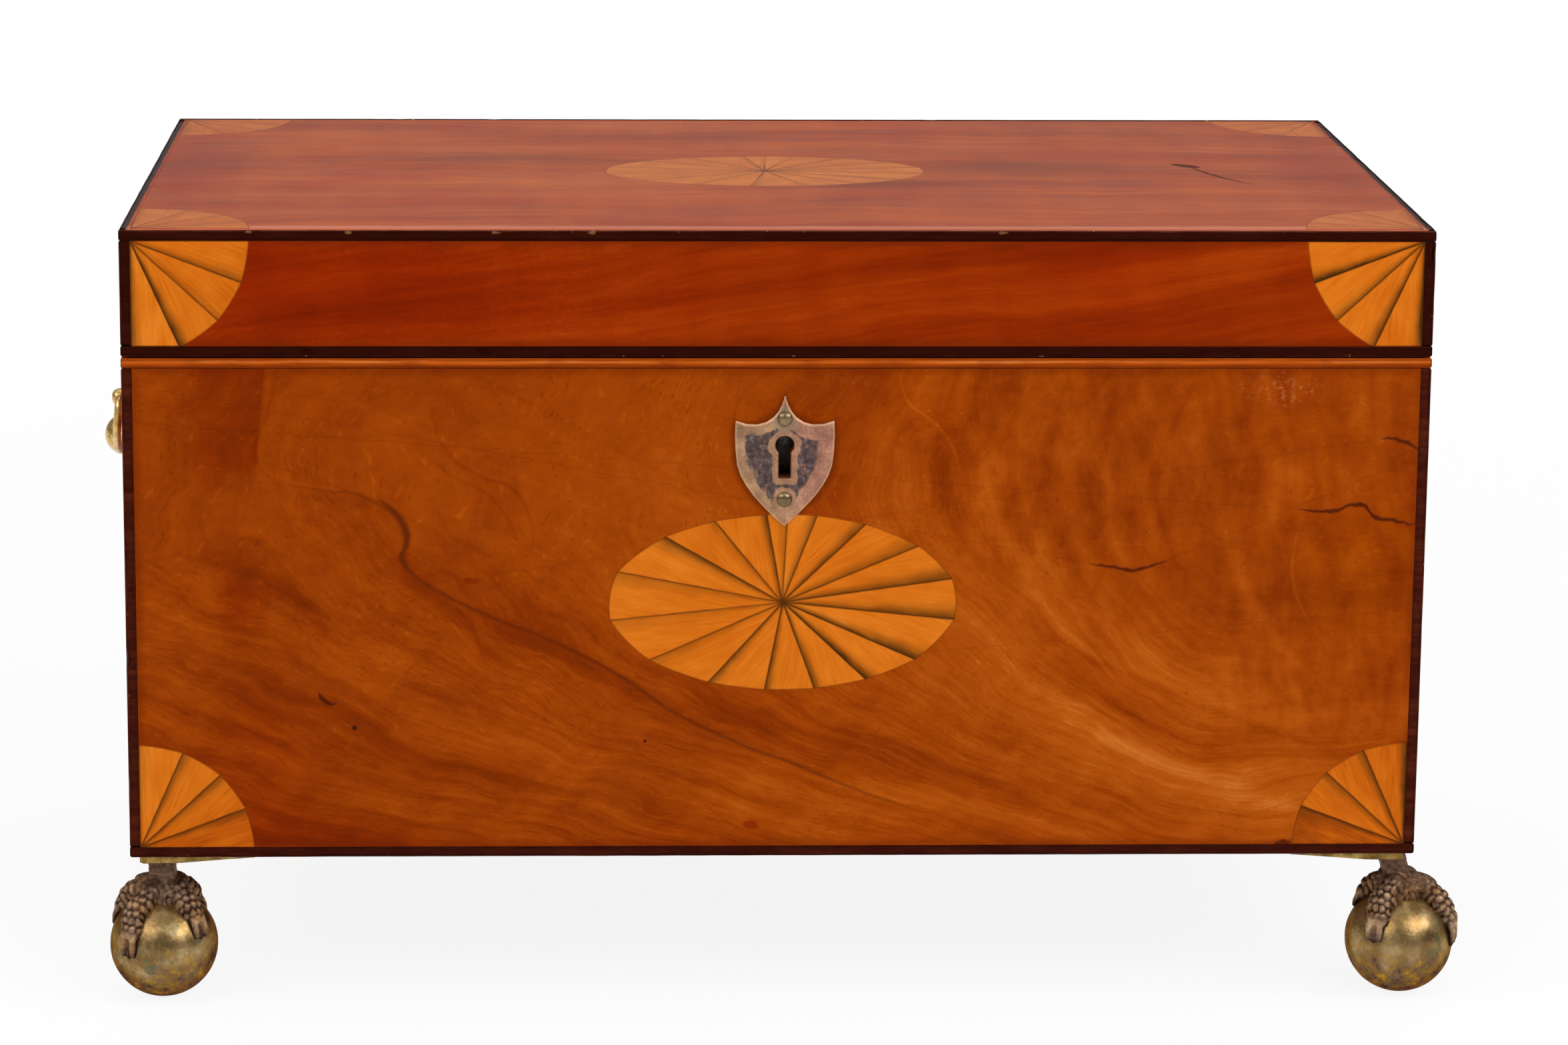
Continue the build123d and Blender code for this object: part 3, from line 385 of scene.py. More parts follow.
def case_front_wood():
    """Figured front: fibres sweep down to the right, upright at the top right round a golden patch."""
    graph = Graph("case_front_veneer")
    u, _, z = graph.place()
    v = z - case_low.z / mm
    drift = graph.noise(u / 70, v / 50, 1.3, detail=2) - 0.5
    flutter = graph.noise(u / 17, v / 15, 4.7, detail=2) - 0.5
    nearness = graph.curve((u + 150) / 300, [
        (0.0, 0.0), (0.167, 0.083), (0.5, 0.306), (0.7, 0.556), (0.967, 1.0), (1.0, 1.0)])
    reach = (1 - nearness) * 180
    rise = v - 88
    swirl = graph.smooth(u + v * 0.9, 70, 175)
    across = (
        graph.root(reach * reach * 0.35 + rise * rise)
        + drift * (12 + swirl * 10)
        + flutter * (2.4 + swirl * 4)
    )
    along = u + abs(rise) * 0.8 + drift * 20
    tone = fibres(graph, along, across, 2.0, band=11, streak=2.1)
    flames = graph.noise(along / 60, across / 5.5, 8.8, detail=3) - 0.5
    diagonal = graph.smooth(abs(v - 62 + u * 0.42), 52, 8) * graph.smooth(u, -70, 50)
    waves = graph.noise(along / 44, across / 7, 31.0, detail=2) - 0.5
    flares = graph.noise((u + v * 0.12 + drift * 34) / 6, v / 38, 37.0, detail=3) - 0.5
    blotches = graph.noise(u / 10, v / 17, 35.0, detail=4, roughness=0.6) - 0.5
    upright = graph.maximum(
        graph.smooth(u + v * 0.5, 60, 105) * graph.smooth(v, 40, 75),
        graph.smooth(u + v * 0.3, 100, 132) * graph.smooth(v, 16, 40))
    tone = tone + (0.5 + waves * 0.35 + flares * 0.7 + blotches * 1.0 - tone) * (upright * 0.82)
    calm = graph.smooth(v, 52, 92) * graph.smooth(u, 40, -10)
    rings = graph.smooth(across, 52, 22)
    mottle = graph.noise(u / 5, v / 3.2, 27.0, detail=4, roughness=0.7) - 0.5
    tone = (tone - 0.5 + flames * (1 - upright) * 0.3) * (1 - calm * 0.5) * (1 - rings * 0.2) + 0.5
    tone = tone + (diagonal - 0.42) * 0.2 + mottle * 0.26

    vein = stroke(graph, u, v, long_vein, 1.2, 0.7)
    knee = stroke(graph, u, v, vein_knee, 2.2, 0.9)
    vein_shade = stroke(graph, u, v + 1.8, long_vein, 5.5, 3.0)
    faint = marked(graph, u, v, faint_veins, 1.0)
    dark = marked(graph, u, v, dark_streaks, 2.6)
    light = marked(graph, u, v, light_streaks, 2.6)
    light_line = marked(graph, u, v, light_lines, 0.6)
    cracks = marked(graph, u, v, crack_lines, 0.4, 1.6)
    shield_shade = marked(graph, u, v, shield_edges, 1.0, 0.5)
    holes = graph.maximum(
        spot(graph, u, v, (-97.6, 31.2), 0.75, 0.75, 0.2),
        spot(graph, u, v, (119, 2.6), 2.2, 1.1),
        spot(graph, u, v, (-30.4, 27.8), 0.5, 0.5))
    red_marks = graph.maximum(
        spot(graph, u, v, (-70.4, 66.2), 2.3, 0.9),
        spot(graph, u, v, (-5.6, 7.6), 2.0, 1.3))
    pale_worn = spot(graph, u, v, (115.5, 111.5), 7, 3.4, 1.2, 0.7)
    pale_worn = pale_worn * graph.smooth(graph.noise(u / 1.1, v / 1.1, 33.0, detail=3), 0.48, 0.68)
    golden = spot(graph, u, v, (137, 69), 17, 19, 0.25, 0.14)
    corner_side = graph.smooth(u + 117.5 + (113 - v) * 0.1, 0.7, -0.7)
    red_corner = corner_side * graph.smooth(u, -146, -128) * graph.smooth(v, 84, 98)
    red_patch = spot(graph, u, v, (-123.5, 62), 6, 13, 0.4, 0.6)
    low_left = graph.smooth(u, -50, -135) * graph.smooth(v, 58, 15)

    pore_mask = pores(graph, along, across, 2.0)
    flecks = graph.smooth(graph.noise(along / 2.6, across / 0.5, 21.0, detail=2), 0.6, 0.74)
    tone = (
        tone - vein_shade * 0.12 - faint * 0.13 - dark * 0.15 + light * 0.15 + light_line * 0.17
        + flecks * 0.13 - red_corner * 0.16 - red_patch * 0.1 - low_left * 0.12)
    patches = graph.noise(u / 42, v / 34, 40.0, detail=3) - 0.5
    reddish = graph.smooth(
        low_left * 0.55 + graph.smooth(v, 16, 0) * 0.4
        + graph.smooth(v, 108, 118) * 0.25 + red_corner * 0.4 + red_patch * 0.4 + patches * 0.8,
        0.1, 0.9)
    edge = panel_edges(graph, u, v, (-147.5, 147.5), (2.5, 116.1))
    dirt = grime(graph, edge, u, v, 2.0)
    colour = graph.layered(
        graph.ramp(tone, mahogany),
        (reddish * 0.75, (238, 160, 90), "MULTIPLY"),
        (golden * 0.55, (245, 240, 60), "MULTIPLY"),
        (pore_mask * 0.34, (84, 28, 4)),
        (red_marks * 0.7, (112, 18, 2)),
        (pale_worn * 0.55, (190, 104, 66)),
        (shield_shade * 0.5, (84, 18, 2)),
        (graph.maximum(vein * 0.72, knee * 0.85), (80, 22, 6)),
        (cracks * 0.9, (62, 10, 4)),
        (holes * 0.92, (34, 10, 4)),
        (dirt * 0.45, (96, 24, 2)))
    return varnish(graph, colour, along, across, pore_mask, 2.0, graph.maximum(cracks, holes))


def veneer_figure(
        graph, u, v, size, seed, palette, tilt=0.0, swirl=7.0, band=13.0, marks=(), tints=(), sheen_below=None,
        pore_tone=0.27):
    """Colour of a plain panel's veneer, with its grain coordinates, pores and scratches, and a painted sheen
    that pales it towards its front edge when a height for that is given.
    """
    drift = graph.noise(u / 85, v / 50, seed + 0.3, detail=2) - 0.5
    flutter = graph.noise(u / 24, v / 16, seed + 0.7, detail=2) - 0.5
    across = v - u * tilt + drift * swirl * 2 + flutter * swirl * 0.35
    along = u + v * tilt
    tone = fibres(graph, along, across, seed, band=band)
    flecks = graph.smooth(graph.noise(along / 2.6, across / 0.5, seed + 21, detail=2), 0.6, 0.74)
    pore_mask = pores(graph, along, across, seed)
    colour = graph.ramp(tone + flecks * 0.08, palette)
    patches = graph.noise(u / 60, v / 30, seed + 41, detail=2)
    edge = panel_edges(graph, u, v, (-size[0] / 2, size[0] / 2), (-size[1] / 2, size[1] / 2))
    layers = [(graph.smooth(patches, 0.42, 0.75) * 0.5, (232, 150, 90), "MULTIPLY")]
    # Tinted patches; on the lid top the dusky and plum ones are painted sheen.
    for centre, radii, strength, tint in tints:
        layers.append((spot(graph, u, v, centre, *radii, 0.5, 0.7) * strength, tint, "MULTIPLY"))
    layers.append((pore_mask * pore_tone, (74, 18, 4)))
    layers.append((grime(graph, edge, u, v, seed) * 0.4, (82, 20, 4)))
    # Painted sheen: a pale pink band along the front of the panel, below the given height.
    if sheen_below is not None:
        wander = (graph.noise(u / 12, v / 5, seed + 47, detail=3) - 0.5) * 3
        pale = graph.smooth(v + wander, sheen_below + 1.5, sheen_below - 2.5)
        layers.append((pale * 0.42, (236, 158, 128)))
    scuffs = None
    if marks:
        scuffs = marked(graph, u, v, marks, 0.6, 0.8)
        layers.append((scuffs * 0.85, (44, 14, 10)))
    return graph.layered(colour, *layers), along, across, pore_mask, scuffs


def veneer_wood(name, axes, centre, size, seed, palette, relief=0.35, **figure):
    """Figured veneer of a plain panel, laid out on two axes of the frame."""
    graph = Graph(name)
    place = graph.place()
    u = place[axes[0]] - centre[0]
    v = place[axes[1]] - centre[1]
    colour, along, across, pore_mask, scuffs = veneer_figure(graph, u, v, size, seed, palette, **figure)
    return varnish(graph, colour, along, across, pore_mask, seed, scuffs, relief=relief)


# Figure of the lid top: tinted patches as centre, radii, strength and tint, and marks as width and points.
# Its dusky and plum patches are painted sheen, as is its pale band towards the front.

# Tints of painted sheen on the lid top: dusky grey and plum.
dusky = (196, 196, 210)
plum = (214, 150, 170)
amber = (255, 235, 150)
lid_top_figure = {
    "size": (312, 184),
    "seed": 63.0,
    "sheen_below": -80.0,
    "pore_tone": 0.1,
    "palette": lid_mahogany,
    "swirl": 12,
    "band": 22,
    "tints": [
        ((24, -19), (26, 7), 0.8, dusky), ((62, 6), (30, 9), 0.7, dusky), ((-62, 22), (30, 8), 0.6, dusky),
        ((-141, 6), (14, 60), 0.7, plum), ((139, -2), (14, 60), 0.6, plum),
        ((0, -72), (120, 14), 0.5, amber)],
    "marks": [
        (4.2, [(101.6, 11.5), (103.6, 9.6), (105.6, 7.6), (107.6, 5.2)]),
        (1.5, [(105, 9), (106.5, 3), (108.6, -3), (112, -11), (118, -20)])],
}


def plain_board(name, seed, palette=plain_wood, axes=(0, 2), gloss=0.45):
    """Unfigured wood of boards and fittings inside the box."""
    graph = Graph(name)
    place = graph.place()
    third = 3 - sum(axes)
    u = place[axes[0]]
    v = place[axes[1]] + place[third] * 0.83
    wander = graph.noise(u / 90, v / 40, seed, detail=2) - 0.5
    across = v + wander * 10
    tone = fibres(graph, u, across, seed, band=18, streak=3.5)
    pore_mask = pores(graph, u, across, seed)
    colour = graph.mix(pore_mask * 0.4, graph.ramp(tone, palette), (50, 22, 10))
    return varnish(graph, colour, u, across, pore_mask, seed, gloss=gloss)


def arris_distance(graph, low, high):
    """Distance along the surface of a box from the nearest of its edges, all in millimetres."""
    gaps = [
        graph.maximum(graph.minimum(place - bottom, top - place), 0.0)
        for place, bottom, top in zip(graph.place(), low, high)]
    return gaps[0] + gaps[1] + gaps[2] - graph.minimum(*gaps) - graph.maximum(*gaps)


lid_line_palette = [(0.2, (10, 1, 1)), (0.5, (20, 3, 3)), (0.75, (40, 10, 10)), (1.0, (66, 26, 22))]
case_line_palette = [(0.2, (18, 2, 4)), (0.45, (42, 12, 9)), (0.7, (76, 30, 18)), (1.0, (104, 52, 30))]

# Places along the lid's front arris where its stringing is bruised, in millimetres from the middle
lid_bruises = (-120.4, -98.0, -64.6, -42.7, 51.0)


def dark_line_wood(name, low, high, palette, chips, top_figure=None):
    """Nearly black stringing with a purple cast, rubbed along its arris and chipped here and there."""
    graph = Graph(name)
    x, y, z = graph.place()
    (left, front, bottom), (right, back, top) = low / mm, high / mm
    arris = arris_distance(graph, low / mm, high / mm)
    stains = graph.noise(x / 14, (y + z) / 3, 3.0, detail=4, roughness=0.6)
    threads = graph.noise(x / 5, (y + z) / 0.4, 5.0, detail=2)
    rub = graph.smooth(arris + (graph.lumps((x, y, z), 6, detail=4) - 0.5) * 1.2, 0.5, 0.0)
    chip = graph.smooth(graph.lumps((x, y, z), 1.4), 0.69, 0.73) * graph.smooth(arris, 0.8, 0.2)
    bottom_bar = graph.smooth(z, bottom + 3.0, bottom + 2.3)
    colour = graph.layered(
        graph.ramp(stains + (threads - 0.5) * 0.3, palette),
        (rub * 0.3, (104, 52, 38)),
        (chip * chips, (170, 122, 84)),
        (bottom_bar * 0.5, (12, 1, 4)))
    if top_figure:
        on_front = graph.smooth(y, front + 1, front + 0.5)
        for place in lid_bruises:
            bruise = spot(graph, x, z, (place, top - 0.5), 1.0, 0.4, 0.9)
            colour = graph.mix(bruise * on_front * 0.55, colour, (164, 116, 74))
        # The lid top's veneer, its painted sheen included, shows on the inner part of the string's top.
        wood = veneer_figure(graph, x, y, **top_figure)[0]
        inset = graph.minimum((y - front) * 1.7, back - y, x - left, right - x)
        wander = (graph.noise(x / 7, y / 7, 17.0, detail=2) - 0.5) * 0.5
        wood_mask = graph.smooth(z, top - 0.6, top - 0.3) * graph.smooth(inset + wander, 1.3, 1.7)
        colour = graph.mix(wood_mask, colour, wood)
    return graph.finish(
        Base_Color=colour,
        Roughness=0.34 + (stains - 0.5) * 0.2,
        Specular_IOR_Level=0.32,
        Specular_Tint=(255, 110, 60),
        Normal=graph.bump((stains - 0.5) * 0.6 + (threads - 0.5) * 0.15 - chip * 0.6, 0.2),
    )


def light_line_wood():
    """Orange line of light wood under the lid, paler along its middle and dark where it meets the veneer."""
    graph = Graph("light_line_wood")
    x, y, z = graph.place()
    height = (z - (rim_high - line_height) / mm) / (line_height / mm)
    streaks = graph.noise((x + y) / 26, z / 0.7, 2.0, detail=3)
    stains = graph.noise((x + y) / 9, z / 4, 6.0, detail=3)
    wander = (graph.noise((x + y) / 18, 0.0, 9.0) - 0.5) * 0.3
    tone = 0.36 + (streaks - 0.5) * 0.8 + graph.smooth(abs(height - 0.62 + wander), 0.34, 0.02) * 0.4
    palette = [(0.0, (104, 32, 3)), (0.4, (150, 58, 6)), (0.7, (186, 84, 20)), (1.0, (214, 130, 66))]
    colour = graph.layered(
        graph.ramp(tone, palette),
        (graph.smooth(stains, 0.5, 0.8) * 0.6, (120, 38, 6)),
        (graph.smooth(height, 0.2, 0.04) * 0.75, (74, 18, 4)))
    return graph.finish(
        Base_Color=colour, Roughness=0.35 + (stains - 0.5) * 0.2, Specular_IOR_Level=0.3,
        Specular_Tint=(255, 160, 70), Normal=graph.bump(streaks - 0.5, 0.04))


front_inlay_palette = [
    (0, (142, 58, 3)), (0.2, (182, 82, 6)), (0.4, (200, 100, 14)), (0.65, (214, 116, 26)),
    (1, (232, 146, 60))]
lid_inlay_palette = [(0, (166, 74, 22)), (0.35, (186, 94, 34)), (0.65, (204, 114, 48)), (1, (222, 140, 74))]

# Values that each point of a blade carries for its finish, all but the last two in millimetres
blade_values = ("reach", "lane", "far_lane", "rim", "tone", "scorch")


def blade_wood(name, palette, shading, joint_reach):
    """Light inlay wood of the fans: scorched along one side of each blade, with dark joints between blades.

    The joints are faint beyond their reach from the middle of a fan, in millimetres.
    """
    graph = Graph(name)
    reach, lane, far_lane, rim, tone_shift, scorch = (graph.attribute(label) for label in blade_values)
    seed = tone_shift * 40
    streaks = graph.noise(reach / 9, lane / 0.55, seed, detail=3)
    clouds = graph.noise(reach / 8, lane / 5, seed + 5, detail=2)
    flecks = graph.noise(reach / 1.8, lane / 0.25, seed + 9, detail=1)
    tone = 0.5 + (streaks - 0.5) * 0.5 + (clouds - 0.5) * 0.5 + (tone_shift - 0.5) * 0.4
    wobble = graph.noise(reach / 6, lane / 3, seed + 13, detail=2)
    fade = lane / (0.7 + reach * 0.085) + (wobble - 0.5) * 0.7
    shade = graph.power(graph.smooth(fade, 1.5, -0.2), 1.6) * scorch
    joint_wobble = (graph.noise(reach / 5, seed, 0.0, detail=2) - 0.5) * 0.16
    joint = graph.maximum(
        graph.smooth(lane + joint_wobble, 0.5, 0.06), graph.smooth(far_lane + joint_wobble, 0.3, 0.02))
    joint = joint * (graph.smooth(reach, joint_reach * 1.5, joint_reach) * 0.56 + 0.24)
    joint = joint * (0.75 + (wobble - 0.5) * 0.9)
    colour = graph.layered(
        graph.ramp(tone, palette),
        (graph.smooth(flecks, 0.68, 0.78) * 0.3, (140, 60, 10)),
        (shade * shading, (56, 28, 4)),
        (joint, (52, 20, 4)),
        (graph.smooth(rim + joint_wobble, 0.4, 0.05) * 0.7, (96, 34, 6)),
        (graph.smooth(reach, 1.6, 0.3) * 0.75, (70, 30, 8)))
    return graph.finish(
        Base_Color=colour,
        Roughness=0.34 + (clouds - 0.5) * 0.2,
        Specular_IOR_Level=0.32,
        Specular_Tint=(255, 180, 90),
        Normal=graph.bump((clouds - 0.5) * 0.4 - joint * 0.25 + (streaks - 0.5) * 0.06, 0.16),
    )


# Metals, cloth and glass

def shield_metal():
    """Worn plate: tan and pink where it is rubbed, along its edge and the keyhole, with dark blotches."""
    graph = Graph("shield_metal")
    x, _, z = graph.place()
    edge, key, pins = (graph.attribute(label) for label in ("edge", "key", "pins"))
    right = graph.smooth(x, -1.5, 8.5)
    crest = graph.smooth(z, 139.5, 144.5)
    blotches = graph.noise(x / 2.3, z / 3.0, 3.0, detail=4, roughness=0.68)
    fine = graph.noise(x / 0.6, z / 0.6, 7.0, detail=3)
    clouds = graph.noise(x / 3.5, z / 4.5, 9.0, detail=3)
    tone = clouds + (fine - 0.5) * 0.5
    tan = graph.ramp(tone, [(0.25, (124, 92, 66)), (0.5, (164, 122, 90)), (0.75, (202, 156, 114))])
    pink = graph.ramp(tone, [(0.25, (120, 80, 66)), (0.5, (162, 108, 90)), (0.75, (196, 140, 114))])
    worn = graph.maximum(
        graph.smooth(edge - right * 1.4, 3.0, 1.2), graph.smooth(key, 2.0, 0.7), graph.smooth(pins, 3.6, 1.8))
    dark = graph.smooth(blotches + (fine - 0.5) * 0.3 + (1 - worn) * 0.2 - worn * 0.3, 0.46, 0.66)
    speckle = graph.noise(x / 1.1, z / 1.3, 12.0, detail=3)
    dark_colour = graph.ramp(speckle + (fine - 0.5) * 0.4, [
        (0.3, (28, 20, 26)), (0.5, (62, 50, 54)), (0.66, (100, 84, 86)), (0.85, (150, 124, 112))])
    grey_top = graph.smooth(pins, 4.2, 1.6) * graph.smooth(z, 136, 138)
    colour = graph.layered(
        tan,
        (right * 0.85, pink),
        (crest * 0.6, (126, 76, 66)),
        (dark * 0.9, dark_colour),
        (grey_top * 0.6, (138, 122, 102)),
        (graph.smooth(edge, 0.6, 0.1) * 0.5, (220, 172, 128)))
    return graph.finish(
        Base_Color=colour,
        Metallic=0.5,
        Roughness=0.46 + dark * 0.14 + (fine - 0.5) * 0.2,
        Normal=graph.bump((fine - 0.5) * 0.5 + (blotches - 0.5) * 0.9 - dark * 0.3, 0.12),
    )


def aged_metal(name, dark, mid, bright, spots, rough, grain, seed, metallic=0.9, relief=0.1):
    """Cast brass or iron with tarnish clouds, dark specks and fine pits."""
    graph = Graph(name)
    place = graph.place()
    clouds = graph.lumps(place, grain, seed, detail=4, roughness=0.6)
    fine = graph.lumps(place, 0.7, seed, detail=3)
    specks = graph.lumps(place, 1.7, seed + 5, detail=3, roughness=0.7)
    colour = graph.ramp(clouds + (fine - 0.5) * 0.25, [(0.3, dark), (0.5, mid), (0.7, bright)])
    spot_mask = graph.smooth(specks, 0.58, 0.70)
    colour = graph.mix(spot_mask * 0.7, colour, spots)
    return graph.finish(
        Base_Color=colour,
        Metallic=metallic,
        Roughness=rough + (clouds - 0.5) * 0.3 + spot_mask * 0.12,
        Normal=graph.bump((fine - 0.5) * 0.5 + (clouds - 0.5) * 1.5 - spot_mask * 0.3, relief),
    )


def ball_metal():
    """Brass ball: olive gold above, tarnished in mottled brown and plum patches and darker and mottled
    towards the bottom, with a painted shadow where it meets the floor.
    """
    graph = Graph("foot_brass")
    place = graph.place()
    height = place[2]
    clouds = graph.lumps(place, 7, detail=4, roughness=0.62)
    mottle = graph.lumps(place, 2.6, 5, detail=4, roughness=0.68)
    fine = graph.lumps(place, 0.7, detail=3)
    gold = graph.ramp(clouds + (fine - 0.5) * 0.2, [
        (0.3, (112, 86, 50)), (0.5, (154, 126, 82)), (0.72, (196, 170, 126))])
    # Mottled colour of the tarnished patches, used too for the darker lower part.
    tarnish = graph.ramp(mottle, [
        (0.3, (58, 42, 28)), (0.43, (112, 84, 68)), (0.56, (140, 104, 44)), (0.7, (190, 146, 54))])
    # Darker and mottled towards the bottom.
    low = graph.smooth(height + (clouds - 0.5) * 16, 14.5, 6)
    patchy = graph.smooth(mottle + (clouds - 0.5) * 0.5, 0.52, 0.66)
    mask = graph.maximum(low * 0.92, patchy * 0.6)
    colour = graph.layered(
        gold,
        (mask, tarnish),
        (graph.smooth(graph.lumps(place, 4.5, 9, detail=3), 0.58, 0.68) * 0.6, (88, 98, 80)),
        # Painted shadow on the ball's underside, where it meets the floor.
        (graph.smooth(height, 2.4, 0.2) * 0.8, (30, 20, 12)))
    return graph.finish(
        Base_Color=colour,
        Metallic=0.92,
        Specular_Tint=(150, 124, 96),
        Roughness=0.3 + mask * 0.16 + (clouds - 0.5) * 0.12,
        Normal=graph.bump((clouds - 0.5) * 1.2 + (mottle - 0.5) * 0.5 + (fine - 0.5) * 0.2, 0.12))


def claw_metal():
    """Dark bronze-brown casting, rubbed paler and pinker where its scales stand proud."""
    graph = Graph("claw_brass")
    place = graph.place()
    clouds = graph.lumps(place, 4, detail=3)
    fine = graph.lumps(place, 0.5, detail=3)
    tone = graph.attribute("proud") + (clouds - 0.5) * 0.5 + (fine - 0.5) * 0.3
    colour = graph.ramp(tone, [
        (0.05, (44, 28, 20)), (0.32, (108, 84, 68)), (0.6, (158, 128, 98)), (0.9, (226, 198, 152))])
    gilt = graph.smooth(graph.lumps(place, 7, 3), 0.45, 0.62)
    colour = graph.mix(gilt * 0.5, colour, (255, 222, 150), "MULTIPLY")
    return graph.finish(
        Base_Color=colour, Metallic=0.6, Specular_Tint=(200, 160, 130), Roughness=0.46 + (clouds - 0.5) * 0.3,
        Normal=graph.bump((fine - 0.5) * 0.5, 0.07))


def baize():
    """Faded green cloth: a felted nap over a weave, rubbed paler in places and dusty along its edges."""
    graph = Graph("baize")
    x, y, z = graph.place()
    nap = graph.noise(x / 0.7, y / 0.7, z, detail=3, roughness=0.75)
    tufts = graph.noise(x / 2.4, y / 2.4, 5.0, detail=3, roughness=0.65)
    clouds = graph.noise(x / 34, y / 34, 3.0, detail=3)
    weave = graph.noise(x / 1.6, y / 0.35, 9.0) + graph.noise(x / 0.35, y / 1.6, 12.0) - 1
    low, high = (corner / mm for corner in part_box("lid_lining"))
    edge = panel_edges(graph, x, y, (low.x, high.x), (low.y, high.y))
    tone = 0.5 + (clouds - 0.5) * 0.35 + (nap - 0.5) * 0.9 + (tufts - 0.5) * 0.5 + weave * 0.5
    colour = graph.layered(
        graph.ramp(tone, [(0.15, (24, 50, 30)), (0.5, (44, 82, 50)), (0.85, (80, 118, 74))]),
        (graph.smooth(graph.noise(x / 1.1, y / 0.5, 15.0, detail=1), 0.76, 0.82) * 0.4, (150, 158, 128)),
        (graph.smooth(edge + (tufts - 0.5) * 8, 7, 0) * 0.4, (92, 96, 66)))
    return graph.finish(
        Base_Color=colour, Roughness=0.95, Sheen_Weight=0.35, Sheen_Roughness=0.5,
        Normal=graph.bump(nap + tufts * 0.6 + weave * 0.8, 0.4))


def foil():
    """Dull lining metal, dented and streaked."""
    graph = Graph("foil")
    x, y, z = graph.place()
    dents = graph.lumps((x, y, z), 11, detail=3)
    creases = graph.cell_walls(x / 26, y / 26, z / 26)
    stains = graph.noise(x / 20, y / 20, z / 14, detail=4)
    colour = graph.ramp(stains, [(0.3, (96, 92, 86)), (0.55, (142, 138, 130)), (0.8, (176, 172, 162))])
    return graph.finish(
        Base_Color=colour, Metallic=0.85, Roughness=0.42 + (stains - 0.5) * 0.4,
        Normal=graph.bump((dents - 0.5) * 1.6 - graph.smooth(creases, 0.03, 0.0) * 0.3, 0.35))


def bowl_glass():
    """Old clear glass with a faint grey cast and slightly uneven surface."""
    graph = Graph("bowl_glass")
    place = graph.place()
    waves = graph.lumps(place, 9)
    seeds = graph.smooth(graph.lumps(place, 0.8), 0.74, 0.8)
    colour = graph.ramp(waves, [(0.3, (232, 240, 236)), (0.7, (246, 250, 247))])
    return graph.finish(
        Base_Color=colour, Roughness=0.03 + seeds * 0.1, Transmission_Weight=1.0, IOR=1.5,
        Normal=graph.bump(waves + seeds * 0.3, 0.08))


# Making pieces

def face_outward(mesh):
    """Turn all faces of a closed mesh to face out."""
    built = bmesh.new()
    built.from_mesh(mesh)
    bmesh.ops.recalc_face_normals(built, faces=built.faces)
    built.to_mesh(mesh)
    built.free()


def new_piece(name, part, body, material, replaced, attributes=(), smooth=True, turn_out=True):
    """Piece that rides on a body in place of a CAD node, with point attributes given as (name, values)."""
    vertices, faces = part
    mesh = bpy.data.meshes.new(name)
    mesh.from_pydata([tuple(vertex) for vertex in vertices], [], faces)
    mesh.validate()
    for label, values in attributes:
        layer = mesh.attributes.new(label, "FLOAT", "POINT")
        layer.data.foreach_set("value", np.asarray(values, np.float32))
    mesh.polygons.foreach_set("use_smooth", [smooth] * len(mesh.polygons))
    mesh.materials.append(material)
    if turn_out:
        face_outward(mesh)
    piece = bpy.data.objects.new(name, mesh)
    bpy.context.scene.collection.objects.link(piece)
    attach(piece, body)
    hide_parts(replaced)
    return piece


def slab(vertices, faces, depth):
    """Close a surface into a slab by repeating it at an offset and walling its border."""
    count = len(vertices)
    lower = [vertex + depth for vertex in vertices]
    borders = {}
    for face in faces:
        for start, end in zip(face, face[1:] + face[:1]):
            borders[(start, end)] = True
    walls = [
        (end, start, start + count, end + count)
        for start, end in borders if (end, start) not in borders
    ]
    under = [tuple(index + count for index in reversed(face)) for face in faces]
    return list(vertices) + lower, list(faces) + under + walls


def lathe(profile, segments=48):
    """Vertices and faces of a closed turned shape about Z from (radius, height) points in metres."""
    vertices = []
    rings = []
    for radius, height in profile:
        if radius < 1e-7:
            rings.append([len(vertices)] * segments)
            vertices.append(Vector((0, 0, height)))
            continue
        rings.append(list(range(len(vertices), len(vertices) + segments)))
        for step in range(segments):
            turn = 2 * math.pi * step / segments
            vertices.append(Vector((radius * math.cos(turn), radius * math.sin(turn), height)))
    faces = []
    for low, high in zip(rings, rings[1:]):
        for step in range(segments):
            after = (step + 1) % segments
            face = [low[step], low[after], high[after], high[step]]
            face = [index for place, index in enumerate(face) if index != face[place - 1]]
            if len(face) > 2:
                faces.append(tuple(face))
    return vertices, faces


def rounded_profile(points):
    """Profile whose corners are cut twice, with its ends kept."""
    for _ in range(2):
        cut = [points[0]]
        for first, second in zip(points, points[1:]):
            cut.append(tuple(0.75 * a + 0.25 * b for a, b in zip(first, second)))
            cut.append(tuple(0.25 * a + 0.75 * b for a, b in zip(first, second)))
        points = cut + [points[-1]]
    return points


def turned(points, segments):
    """Closed turned shape about Z, whose profile is given as (radius, height) in millimetres and rounded."""
    return lathe([(radius * mm, height * mm) for radius, height in rounded_profile(points)], segments)


def ring_faces(rings, sides, caps=True):
    """Faces between rings of points that follow each other, with a cap at each end."""
    faces = [
        (ring * sides + side, ring * sides + (side + 1) % sides,
         (ring + 1) * sides + (side + 1) % sides, (ring + 1) * sides + side)
        for ring in range(rings - 1) for side in range(sides)]
    if caps:
        faces.append(tuple(reversed(range(sides))))
        faces.append(tuple((rings - 1) * sides + side for side in range(sides)))
    return faces


